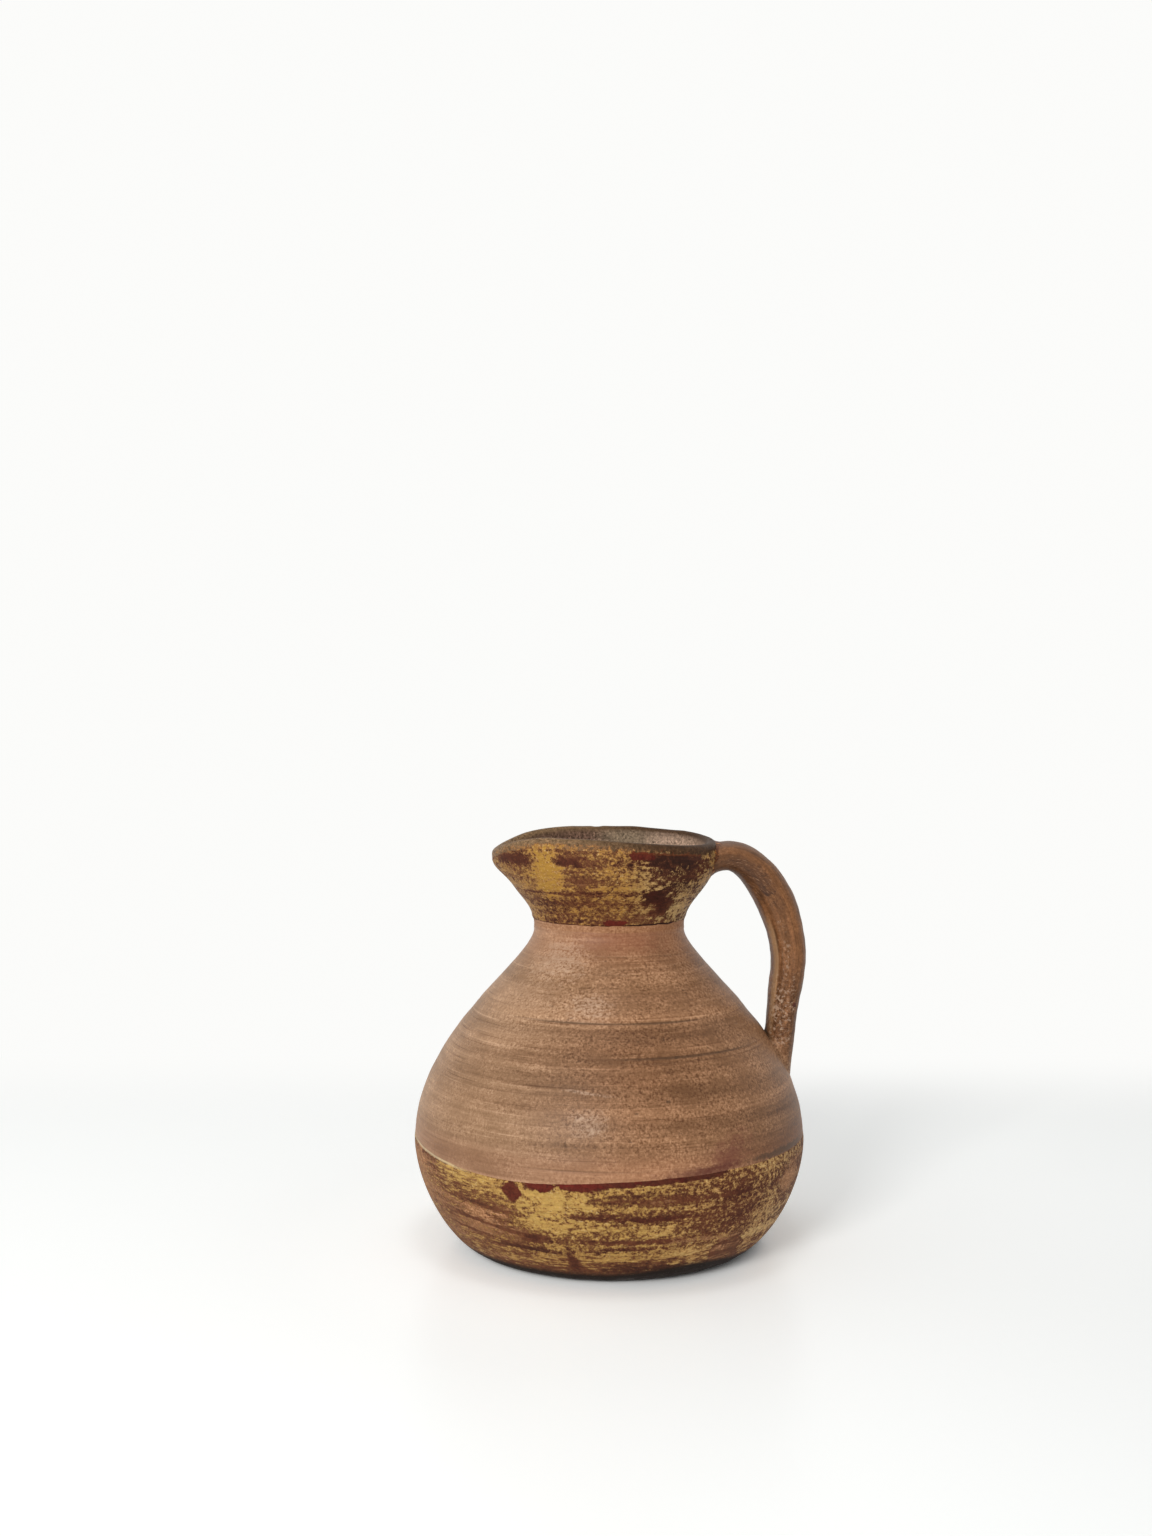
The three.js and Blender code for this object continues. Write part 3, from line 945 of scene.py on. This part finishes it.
# How far a place lies towards the handle's side, between two distances from the axis
def towards_handle(tree, start, end):
    return ramp(parts_of(object_place(tree))[0], start * MM, end * MM)


# Smoke on the body: turn, height, half width, half height, strength
SMOKY_BANDS = (
    (24, 91.6, 30, 1.6, 0.5),
    (14, 81.4, 66, 2.4, 0.55),
    (20, 66, 50, 5.5, 0.25),
    (45, 54, 40, 2.6, 0.35),
    (60, 97, 26, 9, 0.3),
    (-2, 75, 28, 7, 0.35),
    (6, 66, 36, 20, 0.32),
    (-76, 45, 14, 8, 0.3),
    (72, 49, 14, 10, 0.5),
    (-44, 41, 26, 3.4, 0.8),
    (54, 43, 26, 5.5, 0.95),
    (-2, 105, 18, 5, 0.3),
    (34, 107, 13, 4, 0.5),
    (-15, 75.5, 50, 2.4, 0.3),
    (5, 62, 50, 14, 0.25),
    (-42, 71, 20, 4, 0.4),
    (-30, 61.5, 14, 3, 0.3),
    (-64, 64, 20, 3, 0.2),
    (-20, 48, 50, 2, 0.2),
)

# Painted sheen, the lamps' highlights painted paler on the body: turn, height, half width, half height,
# slant, strength
PAINTED_SHEEN_PLACES = (
    (-7.5, 64.7, 8, 0.4, 2.0, 0.55),
    (-9, 57.6, 2.6, 0.9, 0, 0.6),
    (-5.6, 53.6, 3, 0.8, 0, 0.55),
    (-7, 55.6, 5.5, 3, 0, 0.5),
    (-9, 89.2, 9, 3, 0, 0.6),
    (-34, 103, 18, 5, 0, 0.6),
    (-42, 92, 18, 4, 0, 0.15),
)

# Dark pits and scratches on the body, and dirt above the band: turn, height, half width, half height
PITS = (
    (22.5, 74.4, 0.6, 0.4),
    (16.5, 62, 0.8, 0.35),
    (19.5, 79.6, 0.45, 0.4),
    (60, 87.2, 0.25, 1.6),
    (57, 40.8, 18, 1.0),
)


# Clay, painted paler and greyer towards the spout as the window's sheen and redder towards the handle as
# the side in shade, more speckled at the handle, rosy under the neck and by the band
def rosy_clay(tree, height, streaked, plainest=0.45):
    speckled = towards_handle(tree, -45, 5) * (1.0 - plainest) + plainest
    inputs = {"Pale": TAN, "Deep": DEEP_TAN, "Streaked": streaked, "Speckled": speckled}
    clay = use_group(tree, FIRED_CLAY, inputs)
    rosy = number("MAXIMUM", ramp(height, 97 * MM, 109 * MM), ramp(height, 50 * MM, 41 * MM))
    color = blend(rosy * 0.35, clay["Color"], PINK)
    # Painted light: paler and greyer on the spout's side, which faces the window, warmer on the handle's
    # side
    side = blend(towards_handle(tree, -40, 15), (1.12, 1.16, 1.19, 1), (1.03, 0.93, 0.84, 1))
    return tinted(1, color, side), clay


# Painted shade round the foot, where it curves in under towards the table, but not under it; higher on the
# handle's side, away from the window
def shaded_foot(color):
    place = object_place(color.tree)
    aside, _, height = parts_of(place)
    handle_side = number("MAXIMUM", aside, 0.0) * ramp(aside, 0.048, 0.02)
    foot_shade_mask = ramp(handle_side * -0.11 + height, 6.0 * MM, 3.0 * MM) * 0.97
    foot_shade_mask = foot_shade_mask * ramp(length_of(place), FOOT_RADIUS - 2 * MM, FOOT_RADIUS)
    return blend(foot_shade_mask, color, FOOT_SHADE)


def body_clay(tree, shader):
    surface = jug_surface(tree)
    color, clay = rosy_clay(tree, surface[1], 1.0)
    streaks = drawn_out(object_place(tree), 15, 520, 9, 5, 0.65) * 4.0 - 2.0
    streaky = surface[:2] + (streaks,)
    smoke = 0.0
    for *place, strength in SMOKY_BANDS:
        smoke = jug_spot(streaky, place, ragged=0.6, soft=0.8) * strength + smoke
    color = tinted(smoke, color, SMOKE)
    # Painted sheen: pale patches of the lamps' highlights on the shoulder and belly, broken up by the
    # speckle
    speckled = ramp(clay["Shade"], 0.8, 1.2)
    for *place, slant, strength in PAINTED_SHEEN_PLACES:
        painted_sheen = jug_spot(surface, place, slant=slant, ragged=0.9, soft=0.7) * speckled
        color = blend(painted_sheen * strength, color, PAINTED_SHEEN)
    for place in PITS:
        color = blend(jug_spot(surface, place, ragged=0.9, soft=0.4) * 0.7, color, DIRT_AND_SHADE)
    stain = jug_spot(surface, (8, 110, 13, 4), NECK_RADIUS, ragged=0.7, soft=0.8)
    color = blend(stain * 0.4, color, (0.27, 0.09, 0.045, 1))
    smear = jug_spot(surface, (33, 43.5, 7, 4), slant=-0.8, ragged=1.1, soft=0.9)
    color = blend(smear * 0.65, color, (0.15, 0.04, 0.025, 1))
    drip = jug_spot(surface, (25, 40, 11, 1.3), slant=-0.5, ragged=1.0, soft=0.9)
    color = blend(drip * 0.8, color, (0.09, 0.019, 0.012, 1))
    # Painted shade in the hollows of the broad rings and a painted highlight on their ridges
    hollow = ramp(vertex_value(tree, "across"), -1.0, 1.2)
    color = tinted(1, color, blend(hollow, (1.1, 1.11, 1.12, 1), (0.87, 0.87, 0.86, 1)))
    # A painted highlight on the edge of each fine groove, and painted shade in the groove
    groove = vertex_value(tree, "groove")
    color = tinted(ramp(groove, -0.04, -0.4), color, (1.16, 1.18, 1.2, 1))
    color = blend(ramp(groove, 0.1, 0.8) * 0.75, color, (0.075, 0.036, 0.016, 1))
    surfaced(shader, shaded_foot(color), clay, depth=0.13 * MM, gloss=0.22)


# Edges of the marks: as worn through, as one stroke, and as a chip
WORN = {"ragged": 1.1, "soft": 0.65}
STROKE = {"ragged": 0.6, "soft": 0.15}
CHIP = {"ragged": 0.34, "soft": 0.06, "square": 1.0}

# Marks on the belly band: turn, height, half width, half height and, in hundredths, what they add to the
# gold; where a row goes on, what they add to the ground and to its redness, their slant and their edge
USUAL_MARK = (0, 0, 0, WORN)
BELLY_MARKS = (
    (-16.5, 31, 11.5, 5.2, 24),
    (-20, 22.7, 8.5, 3.2, 17),
    (-7.6, 21.4, 8, 2.2, 12),
    (-42, 34.6, 13, 2.6, 15, -6),
    (-68, 36, 11, 3.4, -20, -6),
    (-50, 20, 22, 8, -11, -15),
    (-78, 26, 14, 10, -7, -13),
    (-28.2, 33.2, 4.2, 4.0, -80, 10, 50, 0.15, CHIP),
    (-20, 36.3, 5.2, 1.9, -80, 10, 80, 0.1, STROKE),
    (-8, 36.9, 7, 1.7, -80, 10, 70, 0.1, STROKE),
    (-4, 37.5, 14, 1.1, -80, 14, 40, -0.15, STROKE),
    (12, 38.3, 9, 1.2, -80, 20, 25, -0.15, STROKE),
    (24, 38.9, 9, 1.2, -80, 24, 15, -0.1, STROKE),
    (8, 35.4, 17, 1.7, 7),
    (9, 31, 9, 2.2, -6, 5),
    (34, 27, 24, 10, -3, 7, 15),
    (25, 28, 9, 2.4, 9),
    (36, 32, 5.5, 3.4, -12, 2, 5),
    (-6, 26.7, 8, 0.7, -25, 8, 10),
    (8, 25.7, 17, 0.7, -30, 10, 10),
    (13.2, 21.3, 10.5, 2.6, 13),
    (6, 17.3, 14, 0.7, -30, 10, 10),
    (5, 14.9, 11, 0.6, -25, 8, 10),
    (20.5, 12.4, 9.5, 2.4, 10),
    (-4, 11.8, 9.5, 2.2, 6),
    (0, 3.5, 150, 3.2, -14, -4),
    (38.5, 11, 7.5, 4.6, -30, -9, 0, 0, STROKE),
    (37.5, 21.4, 5.5, 2.6, -8, 0, 5),
    (50, 21.4, 6.6, 4.4, 13, -4, 0, -0.4),
    (48, 14.4, 7, 1.5, 16, 0, 0, -0.4),
    (61, 29.5, 7, 5, -14, -16),
    (56, 38.2, 13, 1.8, 7),
    (68, 33, 9, 6, -14, -6),
    (-22.8, 17.2, 4, 1.4, -50, 16, 10),
    (-12.2, 9.4, 2, 3.6, -50, 16, 10, 0.5),
    (10, 7.4, 12, 2, -22, 12),
    (-33.6, 19.1, 16, 0.7, -30, 16, 0, 2.6),
    (-26, 13.2, 10.5, 0.7, -30, 18, 0, 0.35),
    (-38, 26.4, 12, 0.6, -20, 14, 0, 1.5),
    (-50, 16, 12, 0.5, -20, 16, 0, 0.6),
    (0.7, 32.7, 7, 2.2, -8, 6, 5),
    (10.3, 24.2, 8, 1.6, -10, 6, 5),
    (21.3, 30.6, 6, 2.2, -8, 5, 5),
    (-5, 12.8, 5, 2.2, -8, 5),
    (13, 12, 6, 2, -8, 5),
    (-0.6, 24.1, 5, 2, 7),
    (-14.1, 13.3, 6, 2.6, 8),
    (-29.7, 29.3, 5, 2.6, 6, -4),
    (-39.8, 22.6, 8, 3, -5, 6),
)

# Marks on the neck band, in the same order
NECK_MARKS = (
    (-36, 132.5, 5.2, 8, 27),
    (-57, 137, 7, 1.9, -34, 14, 10),
    (-23, 137.4, 4.3, 1.5, -40, 16, 10),
    (0, 136.8, 13, 1.8, -12, 10, 5),
    (15.5, 139.2, 3.6, 1.5, -50, 10, 55, 0, STROKE),
    (37, 137.1, 10, 2.3, -40, 22),
    (42, 130.5, 10, 4, -10, 10),
    (38, 127, 14, 13, -5, 8, 5),
    (27, 124.4, 4, 2.2, -50, 20, 10),
    (36, 121, 3.2, 2.6, -50, 20, 10),
    (-8, 126, 14, 0.9, -16, 10, 10),
    (-11, 129.6, 11, 2.2, -6, 3),
    (-40, 121, 6, 2.4, -8, 6),
    (50, 121.5, 5.5, 5, 12, -5),
    (3, 115.5, 4.6, 0.9, -60, 10, 80, 0, STROKE),
    (0, 114.3, 200, 0.5, -20, 14),
    (62, 133, 6, 4, 5, -4, 15),
    (-44, 125.9, 7.5, 0.35, -25, 14),
    (8, 130, 9, 8, 5, 2, 4),
    (-30, 126, 3.5, 2, -10, 5),
    (-67, 129, 6, 6, 5, -12),
    (31, 116.6, 11, 1.8, 6, -5),
    (-24, 120, 20, 5, -5, 5, 5),
    (32, 114.4, 13, 0.5, -50, 30, 0, 0, STROKE),
)


# What the marks leave at a place: gold, ground and its redness
def marked(tree, marks, radius, gold, ground):
    surface = jug_surface(tree)
    red = 0.0
    for mark in marks:
        more_ground, more_red, slant, edge = mark[5:] + USUAL_MARK[len(mark) - 5 :]
        mask = jug_spot(surface, mark[:4], radius, slant=slant, **edge)
        gold = mask * (mark[4] / 100) + gold
        if more_ground:
            ground = mask * (more_ground / 100) + ground
        if more_red:
            red = mask * (more_red / 100) + red
    return {"Gold left": gold, "Ground": ground, "Red": number("MINIMUM", red, 1.0)}


def gilding(tree, shader, wear):
    inputs = wear(tree)
    bare = {"Pale": (0.38, 0.185, 0.085, 1), "Deep": (0.21, 0.095, 0.042, 1), "Speckled": 0.8}
    inputs["Clay"] = use_group(tree, FIRED_CLAY, bare)["Color"]
    gilt = use_group(tree, WORN_GILDING, inputs)
    # A painted highlight along the band's top edge on the spout's side
    edge = ramp(vertex_value(tree, "along"), 0.97, 0.99) * 0.7 * towards_handle(tree, -44, -56)
    color = blend(edge, gilt["Color"], (0.66, 0.52, 0.33, 1))
    surfaced(shader, shaded_foot(color), gilt, depth=0.22 * MM, gloss=0.1)
    link(gilt["Metallic"], shader.inputs["Metallic"])


def belly_wear(tree):
    inputs = marked(tree, BELLY_MARKS, BELLY_RADIUS, -0.005, 0.03)
    brushed = ramp(jug_surface(tree)[1], 15 * MM, 7 * MM) + towards_handle(tree, -25, -50)
    inputs["Brushed"] = number("MINIMUM", brushed, 0.8)
    pale = towards_handle(tree, 5, 40)
    inputs["Dull"] = blend(pale, DULL_GOLD, (0.4, 0.2, 0.067, 1))
    inputs["Bright"] = blend(pale, BRIGHT_GOLD, (0.58, 0.38, 0.15, 1))
    inputs["Haze"] = pale * -0.25 + 0.5
    return inputs


def neck_wear(tree):
    inputs = marked(tree, NECK_MARKS, NECK_BAND_RADIUS, 0.0, 0.04)
    inputs.update({"Brushed": 0.1, "Dotted": 0.9})
    pale = towards_handle(tree, 2, 20)
    inputs["Dull"] = blend(pale, (0.36, 0.18, 0.055, 1), (0.42, 0.25, 0.1, 1))
    bright = blend(pale, (0.375, 0.2, 0.037, 1), (0.57, 0.38, 0.16, 1))
    inputs["Bright"] = blend(towards_handle(tree, 22, 30), bright, (0.52, 0.25, 0.06, 1))
    inputs["Haze"] = pale * -0.4 + 0.55
    return inputs


# The collar: gilding crumbles away up the lip, which is dusky towards the handle, and the inside is
# brown at the spout, grey in the middle and tan by the handle
def collar_clay(tree, shader):
    along = vertex_value(tree, "along")
    color, clay = rosy_clay(tree, jug_surface(tree)[1], 0.8, 1.3)
    dusky = towards_handle(tree, -26, 24)
    patina = blend(dusky, (0.18, 0.113, 0.058, 1), (0.034, 0.0185, 0.0092, 1))
    color = blend(ramp(along, 0.55, 0.8) * 0.9, color, tinted(1, patina, clay["Shade"]))
    inputs = neck_wear(tree)
    inputs["Clay"] = color
    inputs["Gold left"] = inputs["Gold left"] + ramp(along, 0.87, 0.95) * (dusky * -0.2 - 0.3)
    inputs["Ground"] = inputs["Ground"] + ramp(along, 0.83, 0.92) * -0.3
    gilt = use_group(tree, WORN_GILDING, inputs)
    color = blend(ramp(along, 1.02, 0.94) * ramp(along, 0.5, 0.6), color, gilt["Color"])
    lining = blend(towards_handle(tree, -8, 4), (0.17, 0.1, 0.07, 1), (0.24, 0.175, 0.115, 1))
    lining = blend(towards_handle(tree, 10, 22), lining, (0.42, 0.29, 0.21, 1))
    color = blend(ramp(along, 1.06, 1.14), color, tinted(1, lining, clay["Shade"] ** 1.4))
    surfaced(shader, color, clay, depth=0.15 * MM, gloss=0.05)


# Noise over the strap's own measures
def strap_noise(lengthways, crosswise, aside, roughness):
    place = flow("CombineXYZ", {"X": lengthways, "Y": crosswise, "Z": aside})
    return grain(place, 1, 5, roughness)


# The strap: streaked along, with painted shade under the lip near its root and in its groove and a painted
# highlight on its back, gouged near its root, pale on its inner edge, crusty at its foot, where it runs out
# into the body's clay
def handle_clay(tree, shader):
    along, groove, across = (vertex_value(tree, name) for name in MEASURES)
    _, height, torn = jug_surface(tree)
    surface = (along, across, torn)
    inputs = {"Pale": (0.208, 0.09, 0.036, 1), "Deep": (0.115, 0.048, 0.019, 1), "Streaked": 0.15}
    inputs["Speckled"] = ramp(along, 0.55, 0.7) * 0.7 + 0.5
    clay = use_group(tree, FIRED_CLAY, inputs)
    streak = strap_noise(along * 9, across * 7, parts_of(object_place(tree))[1] * 60, 0.65)
    color = tinted(1, clay["Color"], streak * 2.2 - 0.1)
    # Painted shade under the lip, on the upper strap and its inner side
    root = ramp(along, 0.36, 0.2) * ramp(across, -0.5, 0.4)
    color = blend(root * 0.6, color, (0.1, 0.044, 0.021, 1))
    # A painted highlight along the strap's outer side
    outer = ramp(across, 0.25, -0.4) * ramp(along, 0.16, 0.3) * ramp(along, 0.66, 0.45)
    color = tinted(outer, color, (1.13, 1.1, 1.04, 1))
    gouge = spot(surface, (0.225, 0.26), (0.1, 0.46), 0, 1.1, 0.5)
    color = blend(gouge * 0.45, color, GOUGED)
    stroke = spot(surface, (0.292, 0.32), (0.03, 0.14), 0.8, 0.9, 0.35)
    color = blend(stroke * 0.55, color, GOUGED)
    scratch = strap_noise(along * 40, along * 60.0 + across * 14, 0, 0.7)
    color = blend(ramp(scratch, 0.47, 0.38) * gouge * 0.95, color, (0.045, 0.02, 0.011, 1))
    color = blend(ramp(scratch, 0.55, 0.64) * gouge * 0.6, color, (0.36, 0.2, 0.115, 1))
    # Painted shade in the groove along the strap
    color = blend(ramp(groove, 0.3, 1.0) * 0.45 * ramp(streak, 0.6, 0.4), color, DIRT_AND_SHADE)
    edge = ramp(across, 0.6, 0.72) * ramp(across, 0.96, 0.84)
    edge = edge * ramp(along, 0.36, 0.46) * ramp(along, 0.86, 0.7)
    color = blend(edge * 0.5, color, (0.5, 0.31, 0.165, 1))
    crust = spot(surface, (0.735, 0.3), (0.095, 0.6), 0, 1.4, 0.6)
    trail = spot(surface, (0.56, 0.28), (0.1, 0.16), 0, 1.4, 0.6)
    crust = number("MAXIMUM", crust, trail * 0.55)
    grit = grain(object_place(tree), 700, 3, 0.7)
    color = blend(crust * ramp(grit, 0.51, 0.59) * 0.75, color, (0.48, 0.33, 0.23, 1))
    color = blend(crust * ramp(grit, 0.42, 0.34) * 0.9, color, DIRT_AND_SHADE)
    nick = spot(surface, (0.69, -0.5), (0.007, 0.1), 0, 0.4, 0.3)
    color = blend(nick * 0.85, color, (0.07, 0.012, 0.008, 1))
    wall, _ = rosy_clay(tree, height, 1.0)
    color = blend(ramp(along, 0.78, 0.94), color, wall)
    surfaced(shader, color, clay, depth=0.2 * MM, gloss=0.2)


# The clay smeared round the foot of the strap, with painted shade in the crease under the bend
def foot_clay(tree, shader):
    color, clay = rosy_clay(tree, jug_surface(tree)[1], 0.6)
    color = tinted(1, color, (0.86, 0.88, 0.9, 1))
    # Painted shade in the crease under the bend
    color = blend(ramp(vertex_value(tree, "across"), 0.5, 0.9) * 0.75, color, DIRT_AND_SHADE)
    surfaced(shader, color, clay, depth=0.2 * MM, gloss=0.2)


# The clay smeared round the root of the strap, with crumbs of the neck's gilding on it
def smeared_clay(tree, shader):
    inputs = {"Pale": (0.31, 0.145, 0.066, 1), "Deep": (0.18, 0.08, 0.037, 1), "Streaked": 0.2}
    clay = use_group(tree, FIRED_CLAY, inputs)
    inputs = {"Clay": clay["Color"], "Ground": 0.1, "Gold left": -0.06, "Red": 0.05}
    inputs["Dull"] = (0.36, 0.12, 0.026, 1)
    inputs["Bright"] = (0.6, 0.28, 0.08, 1)
    gilt = use_group(tree, WORN_GILDING, inputs)
    grained = {"Roughness": clay["Roughness"], "Relief": gilt["Relief"]}
    surfaced(shader, gilt["Color"], grained, depth=0.3 * MM, gloss=0.15)


# Pieces
clay_of_body = material_of("thrown clay", body_clay)
belly_gilt = material_of("belly gilding", gilding, belly_wear)
neck_gilt = material_of("neck gilding", gilding, neck_wear)
clay_of_smear = material_of("smeared clay", smeared_clay)
clay_of_foot = material_of("foot smear", foot_clay)
thrown_body(clay_of_body)
neck_luting(clay_of_body)
neck_collar(material_of("collar clay", collar_clay))
gilt_band("belly_gilding", "belly_gilt_band", belly_gilt, body_radius, BELLY_BAND, dipped)
gilt_band("neck_gilding", "neck_gilt_band", neck_gilt, neck_radius, NECK_BAND, crusted)
strap_handle(material_of("handle clay", handle_clay))
luting("handle_root_smear", "handle_top_luting", above_collar, ROOT_SEARCH, clay_of_smear)
luting("handle_foot_smear", "handle_foot_luting", above_body, FOOT_SEARCH, clay_of_foot)


# The table's white, with a little light of its own away from the jug's shade: less towards the right as a
# painted falloff of the window, some painted light in the shade beside the jug's left, and a painted
# contact shadow close round its foot
def table_white(tree, shader):
    place = object_place(tree)
    across, depth, _ = parts_of(place)
    distance = length_of(place)
    seen = flows(add_node(tree, "LightPath"))["Is Camera Ray"]
    lift = ramp(across, 0.0, 0.25) * -0.07 + 0.01
    beyond = ramp(depth, -0.12, 0.08) * ramp(across, 0.08, 0.2)
    # Painted light in the shade beside the jug's left
    painted_light_beside = ramp(distance, 0.13, 0.055) * ramp(across, 0.03, -0.04)
    # Painted contact shadow close round the foot on the handle's side
    painted_contact_shadow = ramp(distance, 0.057, 0.049) * ramp(across, -0.01, 0.04)
    lift = painted_contact_shadow * -0.16 + (painted_light_beside * 0.07 + (beyond * 0.04 + lift))
    lift = (seen * lift + 0.17) * ramp(distance, 0.0475, 0.0525)
    inputs = {"Emission Color": (1, 1, 0.985, 1), "Emission Strength": lift}
    inputs["Base Color"] = blend(seen, (0.86, 0.87, 0.865, 1), (0.975, 0.995, 1, 1))
    inputs.update({"Roughness": 0.3, "Specular IOR Level": 0.1})
    fill(shader.inputs, inputs)
    glow = add_node(tree, "Emission", {"Color": ROOM_WHITE, "Strength": 1.0})
    fade = number("MAXIMUM", ramp(depth, 0.165, 0.325), seen * ramp(distance, 0.7, 1.5))
    faded = {0: fade, 1: Flow(shader.outputs[0]), 2: Flow(glow.outputs[0])}
    link(flow("MixShader", faded), tree.nodes["Material Output"].inputs["Surface"])


# White table that fades into the white room behind it, just clear of the base
def white_table():
    sheet = bmesh.new()
    bmesh.ops.create_grid(sheet, x_segments=1, y_segments=1, size=TABLE_HALF)
    mesh = bpy.data.meshes.new("table")
    sheet.to_mesh(mesh)
    sheet.free()
    mesh.materials.append(material_of("white table", table_white))
    table = bpy.data.objects.new("table", mesh)
    table.location.z = -TABLE_GAP
    bpy.context.scene.collection.objects.link(table)


white_table()


# White room: plain white to the eye, dimmer as a light
def white_room():
    world = bpy.data.worlds.new("white room")
    bpy.context.scene.world = world
    world.use_nodes = True
    tree = world.node_tree
    path = flows(add_node(tree, "LightPath"))
    seen = number("MAXIMUM", path["Is Camera Ray"], path["Is Glossy Ray"])
    seen = number("MAXIMUM", seen, path["Is Transmission Ray"])
    fill(tree.nodes["Background"].inputs, {"Color": ROOM_WHITE, "Strength": seen * 0.53 + 0.47})


white_room()


def area_light(name, size, energy, color, place, target):
    lamp = bpy.data.lights.new(name, "AREA")
    lamp.shape = "SQUARE"
    lamp.size = size
    lamp.energy = energy
    lamp.color = color
    light = bpy.data.objects.new(name, lamp)
    light.location = place
    aim = Vector(target) - light.location
    light.rotation_euler = aim.to_track_quat("-Z", "Y").to_euler()
    bpy.context.scene.collection.objects.link(light)


# Window light from the front and the left, and a weak light from the ceiling, a little in front
area_light("window", 0.46, 14.5, (1, 0.985, 0.96), (-0.64, -1.325, 0.7), (0, 0, 0.07))
area_light("ceiling", 0.3, 1.5, (1, 1, 1), (0, -0.2, 1.25), (0, 0, 0.08))

camera = bpy.data.cameras.new("camera")
camera.lens = 37.5
camera.sensor_width = 36
viewpoint = bpy.data.objects.new("camera", camera)
viewpoint.location = (-0.01184, -0.572, 0.179)
viewpoint.rotation_euler = (radians(88.9), 0, 0)
bpy.context.scene.collection.objects.link(viewpoint)
bpy.context.scene.camera = viewpoint
bpy.context.scene.view_settings.view_transform = "Standard"
